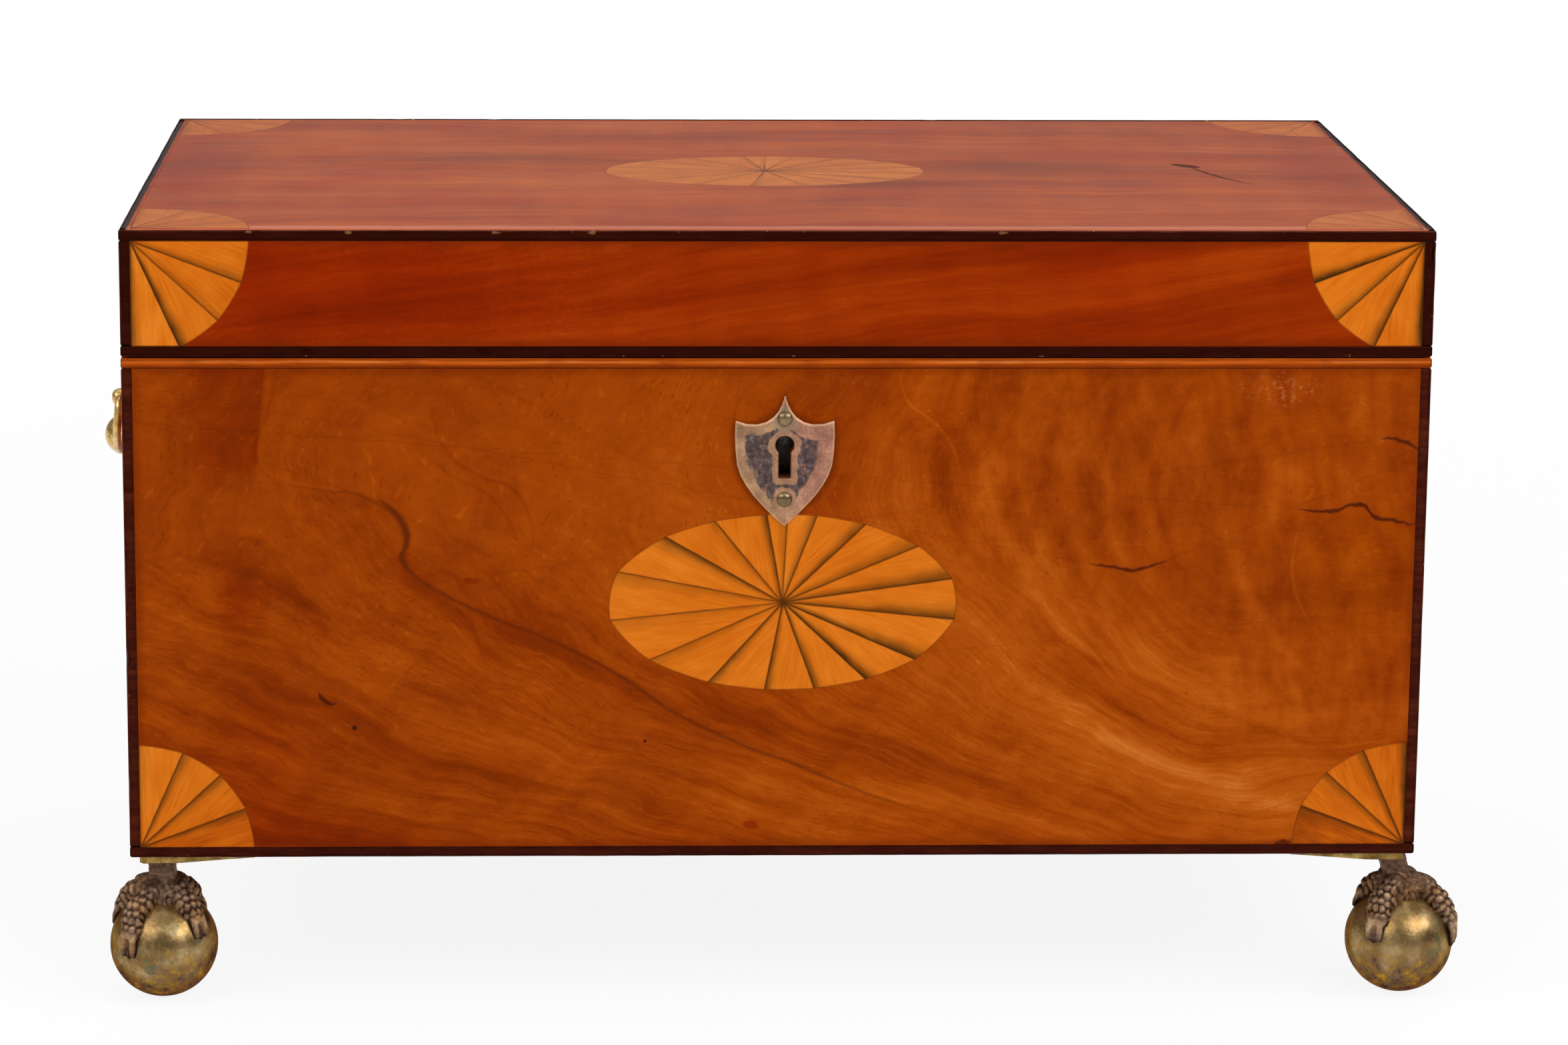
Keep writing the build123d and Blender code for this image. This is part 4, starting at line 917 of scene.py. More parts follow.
def tube(path, radii, sides):
    """Vertices and faces of a round tube along a path of points, with a radius for each."""
    vertices = []
    normal = (path[1] - path[0]).normalized().orthogonal().normalized()
    for index, point in enumerate(path):
        before, after = path[max(index - 1, 0)], path[min(index + 1, len(path) - 1)]
        direction = (after - before).normalized()
        normal = (normal - direction * normal.dot(direction)).normalized()
        other = direction.cross(normal)
        for side in range(sides):
            turn = 2 * math.pi * side / sides
            vertices.append(point + (normal * math.cos(turn) + other * math.sin(turn)) * radii[index])
    return vertices, ring_faces(len(path), sides)


def joined(parts):
    """One list of vertices and faces from several."""
    vertices, faces = [], []
    for part_vertices, part_faces in parts:
        start = len(vertices)
        vertices += part_vertices
        faces += [tuple(index + start for index in face) for face in part_faces]
    return vertices, faces


def moved(part, matrix):
    """The same faces with their vertices carried by a matrix."""
    vertices, faces = part
    return [matrix @ vertex for vertex in vertices], faces


def spline_path(points, steps):
    """Points along a smooth line through the given points."""
    line = []
    for index in range(len(points) - 1):
        before = points[max(index - 1, 0)]
        start, end = points[index], points[index + 1]
        after = points[min(index + 2, len(points) - 1)]
        for step in range(steps):
            t = step / steps
            line.append(0.5 * (
                2 * start + (end - before) * t
                + (2 * before - 5 * start + 4 * end - after) * t * t
                + (3 * start - before - 3 * end + after) * t**3))
    line.append(points[-1])
    return line


# Materials of the whole object

case_front = case_front_wood()
red_side = veneer_wood(
    "case_side_veneer", (1, 2), (0, 95), (167, 114), 21.0, mahogany, tilt=-0.12, swirl=12)
back_wood = veneer_wood("case_back_veneer", (0, 2), (0, 95), (295, 114), 33.0, red_mahogany, tilt=0.06)
lid_front_mat = veneer_wood(
    "lid_front_veneer", (0, 2), (0, 169.5), (295, 24.3), 45.0, red_mahogany, tilt=0.13, swirl=6, band=9,
    tints=[((-110, 2), (70, 18), 0.8, (228, 150, 60)), ((60, 0), (60, 16), 0.4, (240, 200, 90))])
lid_side_mat = veneer_wood("lid_side_veneer", (1, 2), (0, 169.5), (167, 24.3), 51.0, red_mahogany, tilt=0.04)
lid_back_mat = veneer_wood(
    "lid_back_veneer", (0, 2), (0, 169.5), (295, 24.3), 57.0, red_mahogany, tilt=0.05, band=11)
lid_top_mat = veneer_wood("lid_top_veneer", (0, 1), (0, 0), relief=0.1, **lid_top_figure)
carcase_wood = plain_board("carcase_wood", 71.0)
upright_wood = plain_board("inner_upright_wood", 77.0, axes=(1, 2))
inner_wood = veneer_wood("inner_wood", (0, 1), (0, 0), (280, 152), 83.0, mahogany, swirl=9)
knob_wood = plain_board("knob_wood", 91.0, palette=dark_wood, gloss=0.3)
case_line = dark_line_wood(
    "case_edging_wood", case_low, Vector((case_high.x, case_high.y, rim_high)), case_line_palette, 0.6)
lid_line = dark_line_wood("lid_edging_wood", lid_low, lid_high, lid_line_palette, 1.0, lid_top_figure)
light_line = light_line_wood()
inlay = blade_wood("inlay_wood", front_inlay_palette, 0.94, 60.0)
lid_inlay = blade_wood("lid_inlay_wood", lid_inlay_palette, 0.35, 8.0)
shield = shield_metal()
ball_brass = ball_metal()
claw_brass = claw_metal()
plate_brass = aged_metal(
    "foot_plate_brass", (84, 62, 28), (138, 108, 54), (186, 154, 88), (56, 38, 18), 0.38, 4.0, 3.0)
handle_brass = aged_metal(
    "handle_brass", (166, 128, 68), (214, 176, 108), (240, 208, 150), (110, 78, 36), 0.28, 5.0, 5.0)
fitting_brass = aged_metal(
    "fitting_brass", (120, 92, 44), (168, 136, 74), (202, 172, 110), (76, 56, 30), 0.33, 5.0, 7.0)
pin_brass = aged_metal(
    "pin_brass", (104, 86, 58), (136, 116, 84), (168, 148, 112), (70, 54, 34), 0.3, 4.0, 9.0,
    relief=0.03)
lock_iron = aged_metal(
    "lock_iron", (44, 38, 34), (72, 64, 58), (104, 94, 84), (60, 34, 20), 0.5, 6.0, 11.0)
cloth = baize()
lining_foil = foil()
glass = bowl_glass()


# CAD nodes that stay, each with its own finish

def dress(name, material, bevel=0.0):
    """Give a CAD node its material, and soften its edges by a bevel in millimetres."""
    node = nodes[name]
    node.data.materials.clear()
    node.data.materials.append(material)
    if bevel:
        weld = node.modifiers.new("weld", "WELD")
        weld.merge_threshold = 0.005 * mm
        soft = node.modifiers.new("bevel", "BEVEL")
        soft.width = bevel * mm
        soft.segments = 2
        soft.limit_method = "ANGLE"
        soft.angle_limit = math.radians(35)


for material, bevel, names in (
        (case_front, 0, ["front_veneer"]),
        (back_wood, 0, ["back_veneer"]),
        (red_side, 0, ["left_veneer", "right_veneer"]),
        (lid_top_mat, 0, ["lid_top_veneer"]),
        (lid_front_mat, 0, ["lid_front_veneer"]),
        (lid_back_mat, 0, ["lid_back_veneer"]),
        (lid_side_mat, 0, ["lid_left_veneer", "lid_right_veneer"]),
        (carcase_wood, 0, ["front_board", "back_board", "bottom_board"]),
        (carcase_wood, 0, ["lid_board", "lid_front_rail", "lid_back_rail"]),
        (upright_wood, 0, ["left_board", "right_board", "partitions"]),
        (upright_wood, 0, ["lid_left_rail", "lid_right_rail", "inner_lid_supports"]),
        (inner_wood, 0.4, ["well_board"]),
        (inner_wood, 0.3, ["left_inner_lid", "right_inner_lid"]),
        (lining_foil, 0, ["well_linings"]),
        (lock_iron, 0.12, ["lock_case", "lock_plate", "lock_bolt"]),
        (fitting_brass, 0.12, ["link_plate", "hinge_case_leaves", "hinge_lid_leaves", "hinge_pins"]),
        (fitting_brass, 0, ["lid_screws"])):
    for name in names:
        dress(name, material, bevel)


# Stringing bars

def bar_rings(length, across_sizes, seed, worn):
    """Cross-sections of a worn square bar: its long corners are rounded unevenly and its ends softened."""
    half_a, half_b = across_sizes[0] / 2, across_sizes[1] / 2
    count = max(6, int(length / (2.5 * mm)))
    stations = [0.0, 0.12 * mm, 0.4 * mm]
    stations += [length * step / count for step in range(1, count)]
    stations += [length - 0.4 * mm, length - 0.12 * mm, length]
    rings = []
    for station in stations:
        near_end = min(station, length - station)
        shrink = 0.25 * mm * max(0.0, 1 - near_end / (0.4 * mm)) ** 2
        ring = []
        for corner, (sign_a, sign_b) in enumerate(((1, 1), (-1, 1), (-1, -1), (1, -1))):
            rub = noise.noise(Vector((station / (7 * mm), corner * 5.3, seed)))
            chip = max(0.0, noise.noise(Vector((station / (1.6 * mm), corner * 3.1, seed + 9))) - 0.45)
            radius = (0.3 + 0.14 * rub + worn * chip * 1.6) * mm
            a, b = half_a - shrink, half_b - shrink
            square = [(a - radius, b), (a - radius * 0.3, b - radius * 0.3), (a, b - radius)]
            if sign_a * sign_b < 0:
                square.reverse()
            ring += [(sign_a * place_a, sign_b * place_b) for place_a, place_b in square]
        rings.append((station, ring))
    return rings


def worn_bar(low, high, seed, worn=1.0):
    """Vertices and faces of a bar between two corners of its box."""
    size = high - low
    axis = max(range(3), key=lambda index: size[index])
    first, second = [index for index in range(3) if index != axis]
    rings = bar_rings(size[axis], (size[first], size[second]), seed, worn)
    centre = (low + high) / 2
    vertices = []
    for station, ring in rings:
        for a, b in ring:
            point = Vector(centre)
            point[axis] = low[axis] + station
            point[first] += a
            point[second] += b
            vertices.append(point)
    return vertices, ring_faces(len(rings), len(rings[0][1]))


def ring_boxes(z_low, z_high, with_back):
    """Low and high corners of the bars round the box between two heights."""
    side_end = back_y - edging if with_back else back_y
    boxes = [((-half_width, front_y, z_low), (half_width, front_y + edging, z_high))]
    if with_back:
        boxes.append(((-half_width, back_y - edging, z_low), (half_width, back_y, z_high)))
    for x_low in (-half_width, half_width - edging):
        boxes.append(((x_low, front_y + edging, z_low), (x_low + edging, side_end, z_high)))
    return boxes


def corner_boxes(z_low, z_high):
    """Low and high corners of the four upright bars."""
    return [
        ((x_low, y_low, z_low), (x_low + edging, y_low + edging, z_high))
        for x_low in (-half_width, half_width - edging)
        for y_low in (front_y, back_y - edging)
    ]


def trim_to_bevel(mesh, direction):
    """Cut away what reaches into the stop bevel along the back of the joint."""
    built = bmesh.new()
    built.from_mesh(mesh)
    outward = Vector((0, bevel_slope, -direction)).normalized()
    geometry = list(built.verts) + list(built.edges) + list(built.faces)
    cut = bmesh.ops.bisect_plane(
        built, geom=geometry, plane_co=(0, hinge_y, joint_z), plane_no=outward, clear_outer=True)
    edges = [item for item in cut["geom_cut"] if isinstance(item, bmesh.types.BMEdge)]
    bmesh.ops.holes_fill(built, edges=edges)
    built.to_mesh(mesh)
    built.free()
    face_outward(mesh)


def stringing(name, boxes, body, material, direction, seed, replaced):
    """One piece of several worn bars in place of a CAD node of square ones."""
    bars = [
        worn_bar(Vector(low), Vector(high), seed + index * 7.7)
        for index, (low, high) in enumerate(boxes)]
    piece = new_piece(name, joined(bars), body, material, replaced, smooth=False)
    trim_to_bevel(piece.data, direction)
stringing(
    "case_stringing",
    ring_boxes(case_low.z, case_low.z + edging, True)
    + corner_boxes(case_low.z + edging, rim_high - line_height),
    "case", case_line, -1, 1.0, "case_edging")
stringing(
    "case_rim_line", ring_boxes(rim_high - line_height, rim_high, False),
    "case", light_line, -1, 2.0, "rim_line")
stringing(
    "lid_stringing",
    ring_boxes(lid_low.z, lid_low.z + edging, False)
    + corner_boxes(lid_low.z + edging, lid_high.z - edging)
    + ring_boxes(lid_high.z - edging, lid_high.z, True),
    "lid", lid_line, 1, 3.0, "lid_edging")


# Inlays

fan_cuts = (0, 21, 43, 66, 90)
patera_cuts = (8, 23, 44, 69, 87, 100, 129, 150, 169, 186, 204, 228, 259, 290, 316.5, 336, 354, 368)
patera_scorch = (0.95, 0.75, 0.95, 0.8, 0.5, 1.0, 0.6, 1.0, 0.45, 0.3, 0.5, 0.9, 1.0, 1.0, 1.15, 1.1, 0.95)
blade_bulge = 0.6


def oval_point(half_long, half_short, angle):
    """Point of an oval in the direction of an angle in degrees."""
    turn = math.atan2(math.sin(math.radians(angle)) / half_short, math.cos(math.radians(angle)) / half_long)
    return Vector((half_long * math.cos(turn), half_short * math.sin(turn)))


def arc_through(first, middle, last, count):
    """Points along the circular arc through three points."""
    a, b = middle - first, last - first
    twice = 2 * a.cross(b)
    centre = first + Vector((
        (b.y * a.length_squared - a.y * b.length_squared) / twice,
        (a.x * b.length_squared - b.x * a.length_squared) / twice))
    radius = (first - centre).length
    start = math.atan2(first.y - centre.y, first.x - centre.x)
    end = math.atan2(last.y - centre.y, last.x - centre.x)
    sweep = (end - start + math.pi) % (2 * math.pi) - math.pi
    turns = [start + sweep * step / count for step in range(count + 1)]
    return [centre + radius * Vector((math.cos(turn), math.sin(turn))) for turn in turns]


def blade_surface(half_long, half_short, start, end, limit, tone, scorch):
    """Flat blade from the middle of a fan, as points, faces and the attributes that its finish reads.

    A negative scorch darkens the blade along its end instead of its start.
    """
    first = oval_point(half_long, half_short, start)
    last = oval_point(half_long, half_short, end)
    crown = oval_point(half_long, half_short, (start + end) / 2)
    middle = (first + last) * (0.5 * (1 - blade_bulge)) + crown * blade_bulge
    rays = arc_through(first, middle, last, 12)
    rays = [ray * min(1.0, limit / max(ray.y, 1e-9)) for ray in rays]
    shares = (0.04, 0.1, 0.2, 0.3, 0.4, 0.5, 0.6, 0.7, 0.8, 0.88, 0.94, 0.97, 1.0)
    points = [Vector((0, 0))]
    values = [(0.0, 0.0, 0.0, 9.0, tone, abs(scorch))]
    start_line, end_line = first.normalized(), last.normalized()
    if scorch < 0:
        start_line, end_line = end_line, start_line
    for share in shares:
        for ray in rays:
            point = ray * share
            points.append(point)
            lane = abs(start_line.cross(point)) / mm
            far_lane = abs(end_line.cross(point)) / mm
            rim = (1 - share) * ray.length / mm
            values.append((point.length / mm, lane, far_lane, rim, tone, abs(scorch)))
    width = len(rays)
    faces = [(0, 1 + ray, 2 + ray) for ray in range(width - 1)]
    for ring in range(len(shares) - 1):
        for ray in range(width - 1):
            low = 1 + ring * width + ray
            faces.append((low, low + width, low + width + 1, low + 1))
    return points, faces, values


def inlay_piece(name, fans, face, body, material, replaced):
    """Blades of several fans laid into a face.

    Each fan is its apex, half sizes, cuts in degrees, flips, scorches, limit in height and tones.
    """
    slabs, values = [], []
    down = face.to_3x3() @ Vector((0, 0, 0.02 * mm - veneer))
    for fan_index, (apex, halves, cuts, flips, scorches, limit, tones) in enumerate(fans):
        for index, (start, end) in enumerate(zip(cuts, cuts[1:])):
            chance = noise.noise(Vector((index * 3.7 + 0.4, fan_index * 5.1, 2.2)))
            tone = tones[index % len(tones)] + 0.4 * chance
            points, flat_faces, point_values = blade_surface(
                *halves, start, end, limit, tone, scorches[index])
            placed = [
                face @ Vector((apex[0] + point.x * flips[0], apex[1] + point.y * flips[1], 0))
                for point in points]
            if flips[0] * flips[1] < 0:
                flat_faces = [tuple(reversed(flat)) for flat in flat_faces]
            slabs.append(slab(placed, flat_faces, down))
            values += point_values * 2
    attributes = [(label, [value[place] for value in values]) for place, label in enumerate(blade_values)]
    new_piece(name, joined(slabs), body, material, replaced, attributes, False, turn_out=False)


front_face = Matrix(((1, 0, 0, 0), (0, 0, -1, front_y), (0, 1, 0, 0), (0, 0, 0, 1)))
top_face = Matrix.Translation((0, 0, lid_high.z))
panel_half_width = half_width - edging
panel_half_depth = back_y - edging
no_limit = 1.0
patera_halves = ((81.4 / 2 * mm, 42.0 / 2 * mm), (79.0 / 2 * mm, 46.0 / 2 * mm))
fan_radius = 27.0 * mm
fan_height = lid_high.z - lid_low.z - 2 * edging

patera_middle = (1.3 * mm, case_low.z + 61.0 * mm)
inlay_piece(
    "front_patera_inlay",
    [(patera_middle, patera_halves[0], patera_cuts, (1, 1), patera_scorch, no_limit, (0.5,))],
    front_face, "case", inlay, "front_patera")
inlay_piece(
    "front_fan_inlays",
    [
        ((side * panel_half_width, case_low.z + edging), (26.5 * mm, 24.7 * mm), fan_cuts, (-side, 1),
         scorches, no_limit, tones)
        for side, scorches, tones in (
            (-1, (-0.8, -0.8, -0.8, -0.35), (-0.2, 0.3, 0.5, 0.55)),
            (1, (-0.9, -0.8, -1.0, -1.1), (-0.5, 0.0, 0.2, 0.1)))
    ],
    front_face, "case", inlay, "front_fans")
inlay_piece(
    "lid_patera_inlay", [((0, 0), patera_halves[1], patera_cuts, (1, 1), patera_scorch, no_limit, (0.6,))],
    top_face, "lid", lid_inlay, "lid_patera")
inlay_piece(
    "lid_front_fan_inlays",
    [
        ((side * panel_half_width, lid_high.z - edging), (fan_radius, fan_radius), fan_cuts, (-side, -1),
         scorches, fan_height, (0.35, 0.45, 0.5, 0.5))
        for side, scorches in ((-1, (-0.75, -0.5, -1.15, -0.9)), (1, (-1.2, -0.8, -1.05, -1.2)))
    ],
    front_face, "lid", inlay, "lid_front_fans")
inlay_piece(
    "lid_top_fan_inlays",
    [
        ((side * panel_half_width, end * panel_half_depth), (fan_radius, fan_radius), fan_cuts, (-side, -end),
         (-0.6, -0.8, -0.7, -0.9), no_limit, (0.3,))
        for side in (-1, 1) for end in (-1, 1)
    ],
    top_face, "lid", lid_inlay, "lid_top_fans")


# Escutcheon

lock_x = 1.5 * mm
keyhole_z = rim_high - 20.3 * mm
shield_thickness = 0.8 * mm
pin_rises = (6.3, -12.6)


def mirrored_outline(right_side):
    """Closed outline from the points of its right side, top to bottom."""
    left_side = [(-x, y) for x, y in reversed(right_side[1:-1])]
    return right_side + left_side


def keyhole_outline(steps=20):
    """Round eye over a narrow slot."""
    radius, half_slot, drop = 2.2, 1.4, 7.7
    open_half = math.asin(half_slot / radius)
    turns = [open_half + (2 * math.pi - 2 * open_half) * step / steps for step in range(steps + 1)]
    eye = [(-radius * math.sin(turn), -radius * math.cos(turn)) for turn in turns]
    return eye + [(half_slot, -drop), (-half_slot, -drop)]


def outline_distance(points, outline):
    """Distance of each point to a closed outline, the nearest place on it, and whether it is inside."""
    points = np.asarray(points, float)
    ring = np.asarray(outline, float)
    nearest = np.full(len(points), 1e9)
    where = np.zeros_like(points)
    inside = np.zeros(len(points), bool)
    for start, end in zip(ring, np.roll(ring, -1, axis=0)):
        edge = end - start
        share = np.clip(((points - start) @ edge) / max(edge @ edge, 1e-12), 0, 1)
        foot = start + share[:, None] * edge
        gap = np.linalg.norm(points - foot, axis=1)
        closer = gap < nearest
        nearest[closer] = gap[closer]
        where[closer] = foot[closer]
        crosses = (start[1] > points[:, 1]) != (end[1] > points[:, 1])
        rise = end[1] - start[1]
        limit = start[0] + (points[:, 1] - start[1]) * edge[0] / (rise if abs(rise) > 1e-12 else 1e-12)
        inside ^= crosses & (points[:, 0] < limit)
    return nearest, where, inside


def make_escutcheon():
    """Shield cut from a fine grid, so that its edge can be rounded and its finish can follow the edge."""
    crest = [
        (0, 12.1), (0.35, 10.6), (0.85, 9.2), (1.6, 7.8), (2.7, 6.5), (4.3, 5.45), (6.3, 4.9), (8.8, 5.0)]
    flank = [(11.35, 5.8), (11.45, 2.2), (11.3, -1.2), (10.9, -4.7), (10.05, -7.2), (8.75, -9.5)]
    taper = [(7.05, -11.9), (5.0, -14.2), (2.7, -16.6), (0, -19.0)]
    outline = mirrored_outline(crest + flank + taper)
    hole = keyhole_outline()
    step = 0.24
    columns = np.arange(-12.0, 12.01, step)
    rows = np.arange(-19.68, 12.7, step)
    grid = np.array([(x, y) for y in rows for x in columns])
    width = len(columns)
    centres = grid + step / 2
    _, _, centre_in = outline_distance(centres, outline)
    _, _, centre_in_hole = outline_distance(centres, hole)
    faces = [
        (index, index + 1, index + width + 1, index + width)
        for index in range(len(grid) - width)
        if (index + 1) % width and centre_in[index] and not centre_in_hole[index]
    ]
    counts = Counter(frozenset(pair) for face in faces for pair in zip(face, face[1:] + face[:1]))
    border = sorted({index for pair, count in counts.items() if count == 1 for index in pair})
    outer_gap, outer_spot, _ = outline_distance(grid[border], outline)
    hole_gap, hole_spot, _ = outline_distance(grid[border], hole)
    grid[border] = np.where((outer_gap < hole_gap)[:, None], outer_spot, hole_spot)
    used = sorted({index for face in faces for index in face})
    renumber = {old: new for new, old in enumerate(used)}
    points = grid[used]
    faces = [tuple(renumber[index] for index in face) for face in faces]
    edge, _, _ = outline_distance(points, outline)
    key, _, _ = outline_distance(points, hole)
    pin_places = np.array([(0.0, rise) for rise in pin_rises])
    pins = np.min(np.linalg.norm(points[:, None] - pin_places[None], axis=2), axis=1)
    near = np.minimum(edge, key * 1.6)
    drop = 0.34 * np.clip(1 - near / 0.75, 0, 1) ** 2
    dents = [0.05 * noise.noise(Vector((x / 3.1, y / 3.1, 4.0))) for x, y in points]
    heights = shield_thickness - (drop + np.abs(dents)) * mm
    vertices = [
        Vector((lock_x + x * mm, front_y - height, keyhole_z + y * mm))
        for (x, y), height in zip(points, heights)
    ]
    floor = [Vector((vertex.x, front_y + 0.01 * mm, vertex.z)) for vertex in vertices]
    _, closed_faces = slab(vertices, faces, Vector())
    attributes = [("edge", list(edge) * 2), ("key", list(key) * 2), ("pins", list(pins) * 2)]
    piece = new_piece(
        "shield_escutcheon", (vertices + floor, closed_faces), "case", shield, "escutcheon",
        attributes)
    piece.data.set_sharp_from_angle(angle=math.radians(50))


def make_pins():
    """Two domed pins that hold the escutcheon."""
    radius, height = 1.75 * mm, 1.0 * mm
    profile = [(0, height)]
    for degrees in range(12, 91, 13):
        turn = math.radians(degrees)
        profile.append((radius * math.sin(turn), height * math.cos(turn)))
    profile += [(radius, -0.25 * mm), (0, -0.3 * mm)]
    head = lathe(list(reversed(profile)), 32)
    parts = []
    for rise in pin_rises:
        place = Matrix.Translation((lock_x, front_y - shield_thickness, keyhole_z + rise * mm))
        parts.append(moved(head, place @ Matrix.Rotation(math.radians(90), 4, "X")))
    new_piece("shield_pins", joined(parts), "case", pin_brass, "escutcheon_pins")


make_escutcheon()
make_pins()


# Feet

ball_radius = 12.7 * mm
ball_height = 12.5 * mm
plate_low = case_low.z - 2.2 * mm


def ball_centre(name):
    """Centre of a foot's ball, over the middle of its CAD node."""
    low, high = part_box(name)
    return Vector(((low.x + high.x) / 2, (low.y + high.y) / 2, ball_height))


def unit_ball(subdivisions):
    """Vertices and faces of a ball with a radius of one."""
    built = bmesh.new()
    bmesh.ops.create_icosphere(built, subdivisions=subdivisions, radius=1.0)
    vertices = [vertex.co.copy() for vertex in built.verts]
    faces = [tuple(vertex.index for vertex in face.verts) for face in built.faces]
    built.free()
    return vertices, faces


def make_ball(name, seed):
    """Slightly uneven cast ball, worn flat where it stands."""
    units, faces = unit_ball(5)
    centre = ball_centre(name)
    vertices = []
    for unit in units:
        swell = noise.noise(unit * 2.3 + Vector((seed, 0, 0))) * 0.05
        swell += noise.noise(unit * 7 + Vector((seed, 3, 0))) * 0.02
        point = centre + unit * (ball_radius + (swell - 0.07) * mm)
        vertices.append(Vector((point.x, point.y, max(point.z, 0.0))))
    new_piece(f"{name}_cast", (vertices, faces), "case", ball_brass, name, turn_out=False)


def over_ball(centre, polar, azimuth, lift):
    """Point above the surface of the ball, by its angle down from the top and its azimuth in degrees."""
    fall, turn = math.radians(polar), math.radians(azimuth)
    outward = Vector((math.sin(fall) * math.cos(turn), math.sin(fall) * math.sin(turn), math.cos(fall)))
    return centre + outward * (ball_radius + lift * mm)


# Each toe is a list of (angle down from the top of the ball, sideways sway in degrees, lift, half width)
toe_profile = [
    (0, 0, 0.6, 3.1), (12, 1, 1.3, 3.0), (24, 2, 1.6, 3.0), (33, 1, 1.1, 2.6), (42, -1, 1.0, 2.75),
    (51, -2, 0.7, 2.8), (58, -1, 0.3, 2.35), (65, 1, 0.2, 2.45), (72, 1, -0.3, 2.1),
]
talon_profile = [
    (66, 0, 0.1, 2.1), (74, 0, -0.5, 1.5), (84, 0, -0.6, 1.2), (92, 0, -0.5, 0.9), (97, 0, -0.4, 0.4)]
ridge_profile = [
    (64, 0, 0.6, 1.0), (72, 0, 0.75, 0.95), (80, 0, 0.55, 0.9), (88, 0, 0.25, 0.75), (94, 0, -0.1, 0.5)]


def toe_tube(centre, azimuth, profile, stretch, width):
    """Tube that follows a toe's profile over the ball."""
    knots = [over_ball(centre, polar * stretch, azimuth + sway, lift) for polar, sway, lift, _ in profile]
    path = spline_path(knots, 6)
    stations = np.linspace(0, len(profile) - 1, len(path))
    radii = np.interp(stations, range(len(profile)), [row[3] for row in profile]) * width * mm
    return tube(path, radii, 14)


def claw_body(centre, neck_x, toes):
    """Overlapping shapes of the neck, palm, toes and talons. A toe is its azimuth, reach and width."""
    parts = []
    for azimuth, stretch, width in toes:
        parts.append(toe_tube(centre, azimuth, toe_profile, stretch, width))
        parts.append(toe_tube(centre, azimuth, talon_profile, stretch, width))
        for sway in (-6.5, 6.5):
            parts.append(toe_tube(centre, azimuth + sway, ridge_profile, stretch, 1.0))
    top_of_ball = centre + Vector((0, 0, ball_radius))
    units, faces = unit_ball(3)
    palm = [
        top_of_ball + Vector((unit.x * 6.2 * mm, unit.y * 6.2 * mm, unit.z * 4.0 * mm - 0.6 * mm))
        for unit in units]
    parts.append((palm, faces))
    neck_top = Vector((neck_x, centre.y, plate_low + 0.3 * mm))
    heights = ((0.0, 3.25), (0.25, 3.0), (0.55, 3.1), (0.8, 3.9), (1.0, 4.9))
    neck = [
        neck_top.lerp(top_of_ball, share) + Vector((sign_x * half * mm, sign_y * half * mm, 0))
        for share, half in heights
        for sign_x, sign_y in ((1, 1), (-1, 1), (-1, -1), (1, -1))]
    parts.append((neck, ring_faces(len(heights), 4)))
    return joined(parts)


def fused(vertices, faces, voxel):
    """Skin round overlapping closed shapes, by a voxel remesh."""
    mesh = bpy.data.meshes.new("raw")
    mesh.from_pydata([tuple(vertex) for vertex in vertices], [], faces)
    raw = bpy.data.objects.new("raw", mesh)
    bpy.context.scene.collection.objects.link(raw)
    face_outward(mesh)
    remesh = raw.modifiers.new("remesh", "REMESH")
    remesh.mode = "VOXEL"
    remesh.voxel_size = voxel
    graph = bpy.context.evaluated_depsgraph_get()
    result = bpy.data.meshes.new_from_object(raw.evaluated_get(graph))
    bpy.data.objects.remove(raw)
    return result


def held(value):
    """Value held between 0 and 1."""
    return max(0.0, min(1.0, value))


def scale_relief(mesh, centre, toes):
    """Push the skin out into rows of scales along each toe, and return how proud each point stands."""
    count = len(mesh.vertices)
    places = np.zeros(count * 3)
    normals = np.zeros(count * 3)
    mesh.vertices.foreach_get("co", places)
    mesh.vertices.foreach_get("normal", normals)
    places, normals = places.reshape(-1, 3), normals.reshape(-1, 3)
    proud = np.zeros(count)
    for index in range(count):
        point = Vector(places[index]) - centre
        lift = (point.length - ball_radius) / mm
        fall = math.acos(max(-1.0, min(1.0, point.z / max(point.length, 1e-9))))
        turn = math.degrees(math.atan2(point.y, point.x))
        side, reach = 99.0, 1.0
        for azimuth, stretch, _ in toes:
            swing = math.radians((turn - azimuth + 180) % 360 - 180)
            offset = swing * math.sin(fall) * ball_radius / mm
            if abs(offset) < abs(side):
                side, reach = offset, stretch
        polar = math.degrees(fall) / reach
        wobble = noise.noise(Vector(places[index]) / (2.2 * mm))
        row = fall * ball_radius / (1.45 * mm) + wobble * 0.35
        column = side / 1.3 + 0.5 * (math.floor(row) % 2) + wobble * 0.2
        gap = math.hypot(row % 1 - 0.5, column % 1 - 0.5) * 2
        bead = math.sqrt(max(0.0, 1 - gap * gap))
        scaly = held((70 - polar) / 6) * held((polar - 22) / 14)
        knuckle = math.sin(math.radians(polar * 20 + 40 * wobble))
        rough = noise.noise(Vector(places[index]) / (0.9 * mm))
        relief = (bead - 0.45) * 0.42 * scaly + knuckle * 0.1 * scaly + rough * 0.12
        places[index] += normals[index] * relief * mm
        tip = held((polar - 66) / 5)
        height = held((lift - 0.1) / 1.3)
        proud[index] = 0.26 + (bead - 0.4) * 0.5 * scaly + rough * 0.16 + tip * (height - 0.45) * 0.7
    mesh.vertices.foreach_set("co", places.ravel())
    mesh.update()
    return proud


def plate_thickness(distance):
    """Thickness in millimetres of a foot plate, by the distance along its arm."""
    return 2.2 - 1.5 * held((distance - 8) / 18)


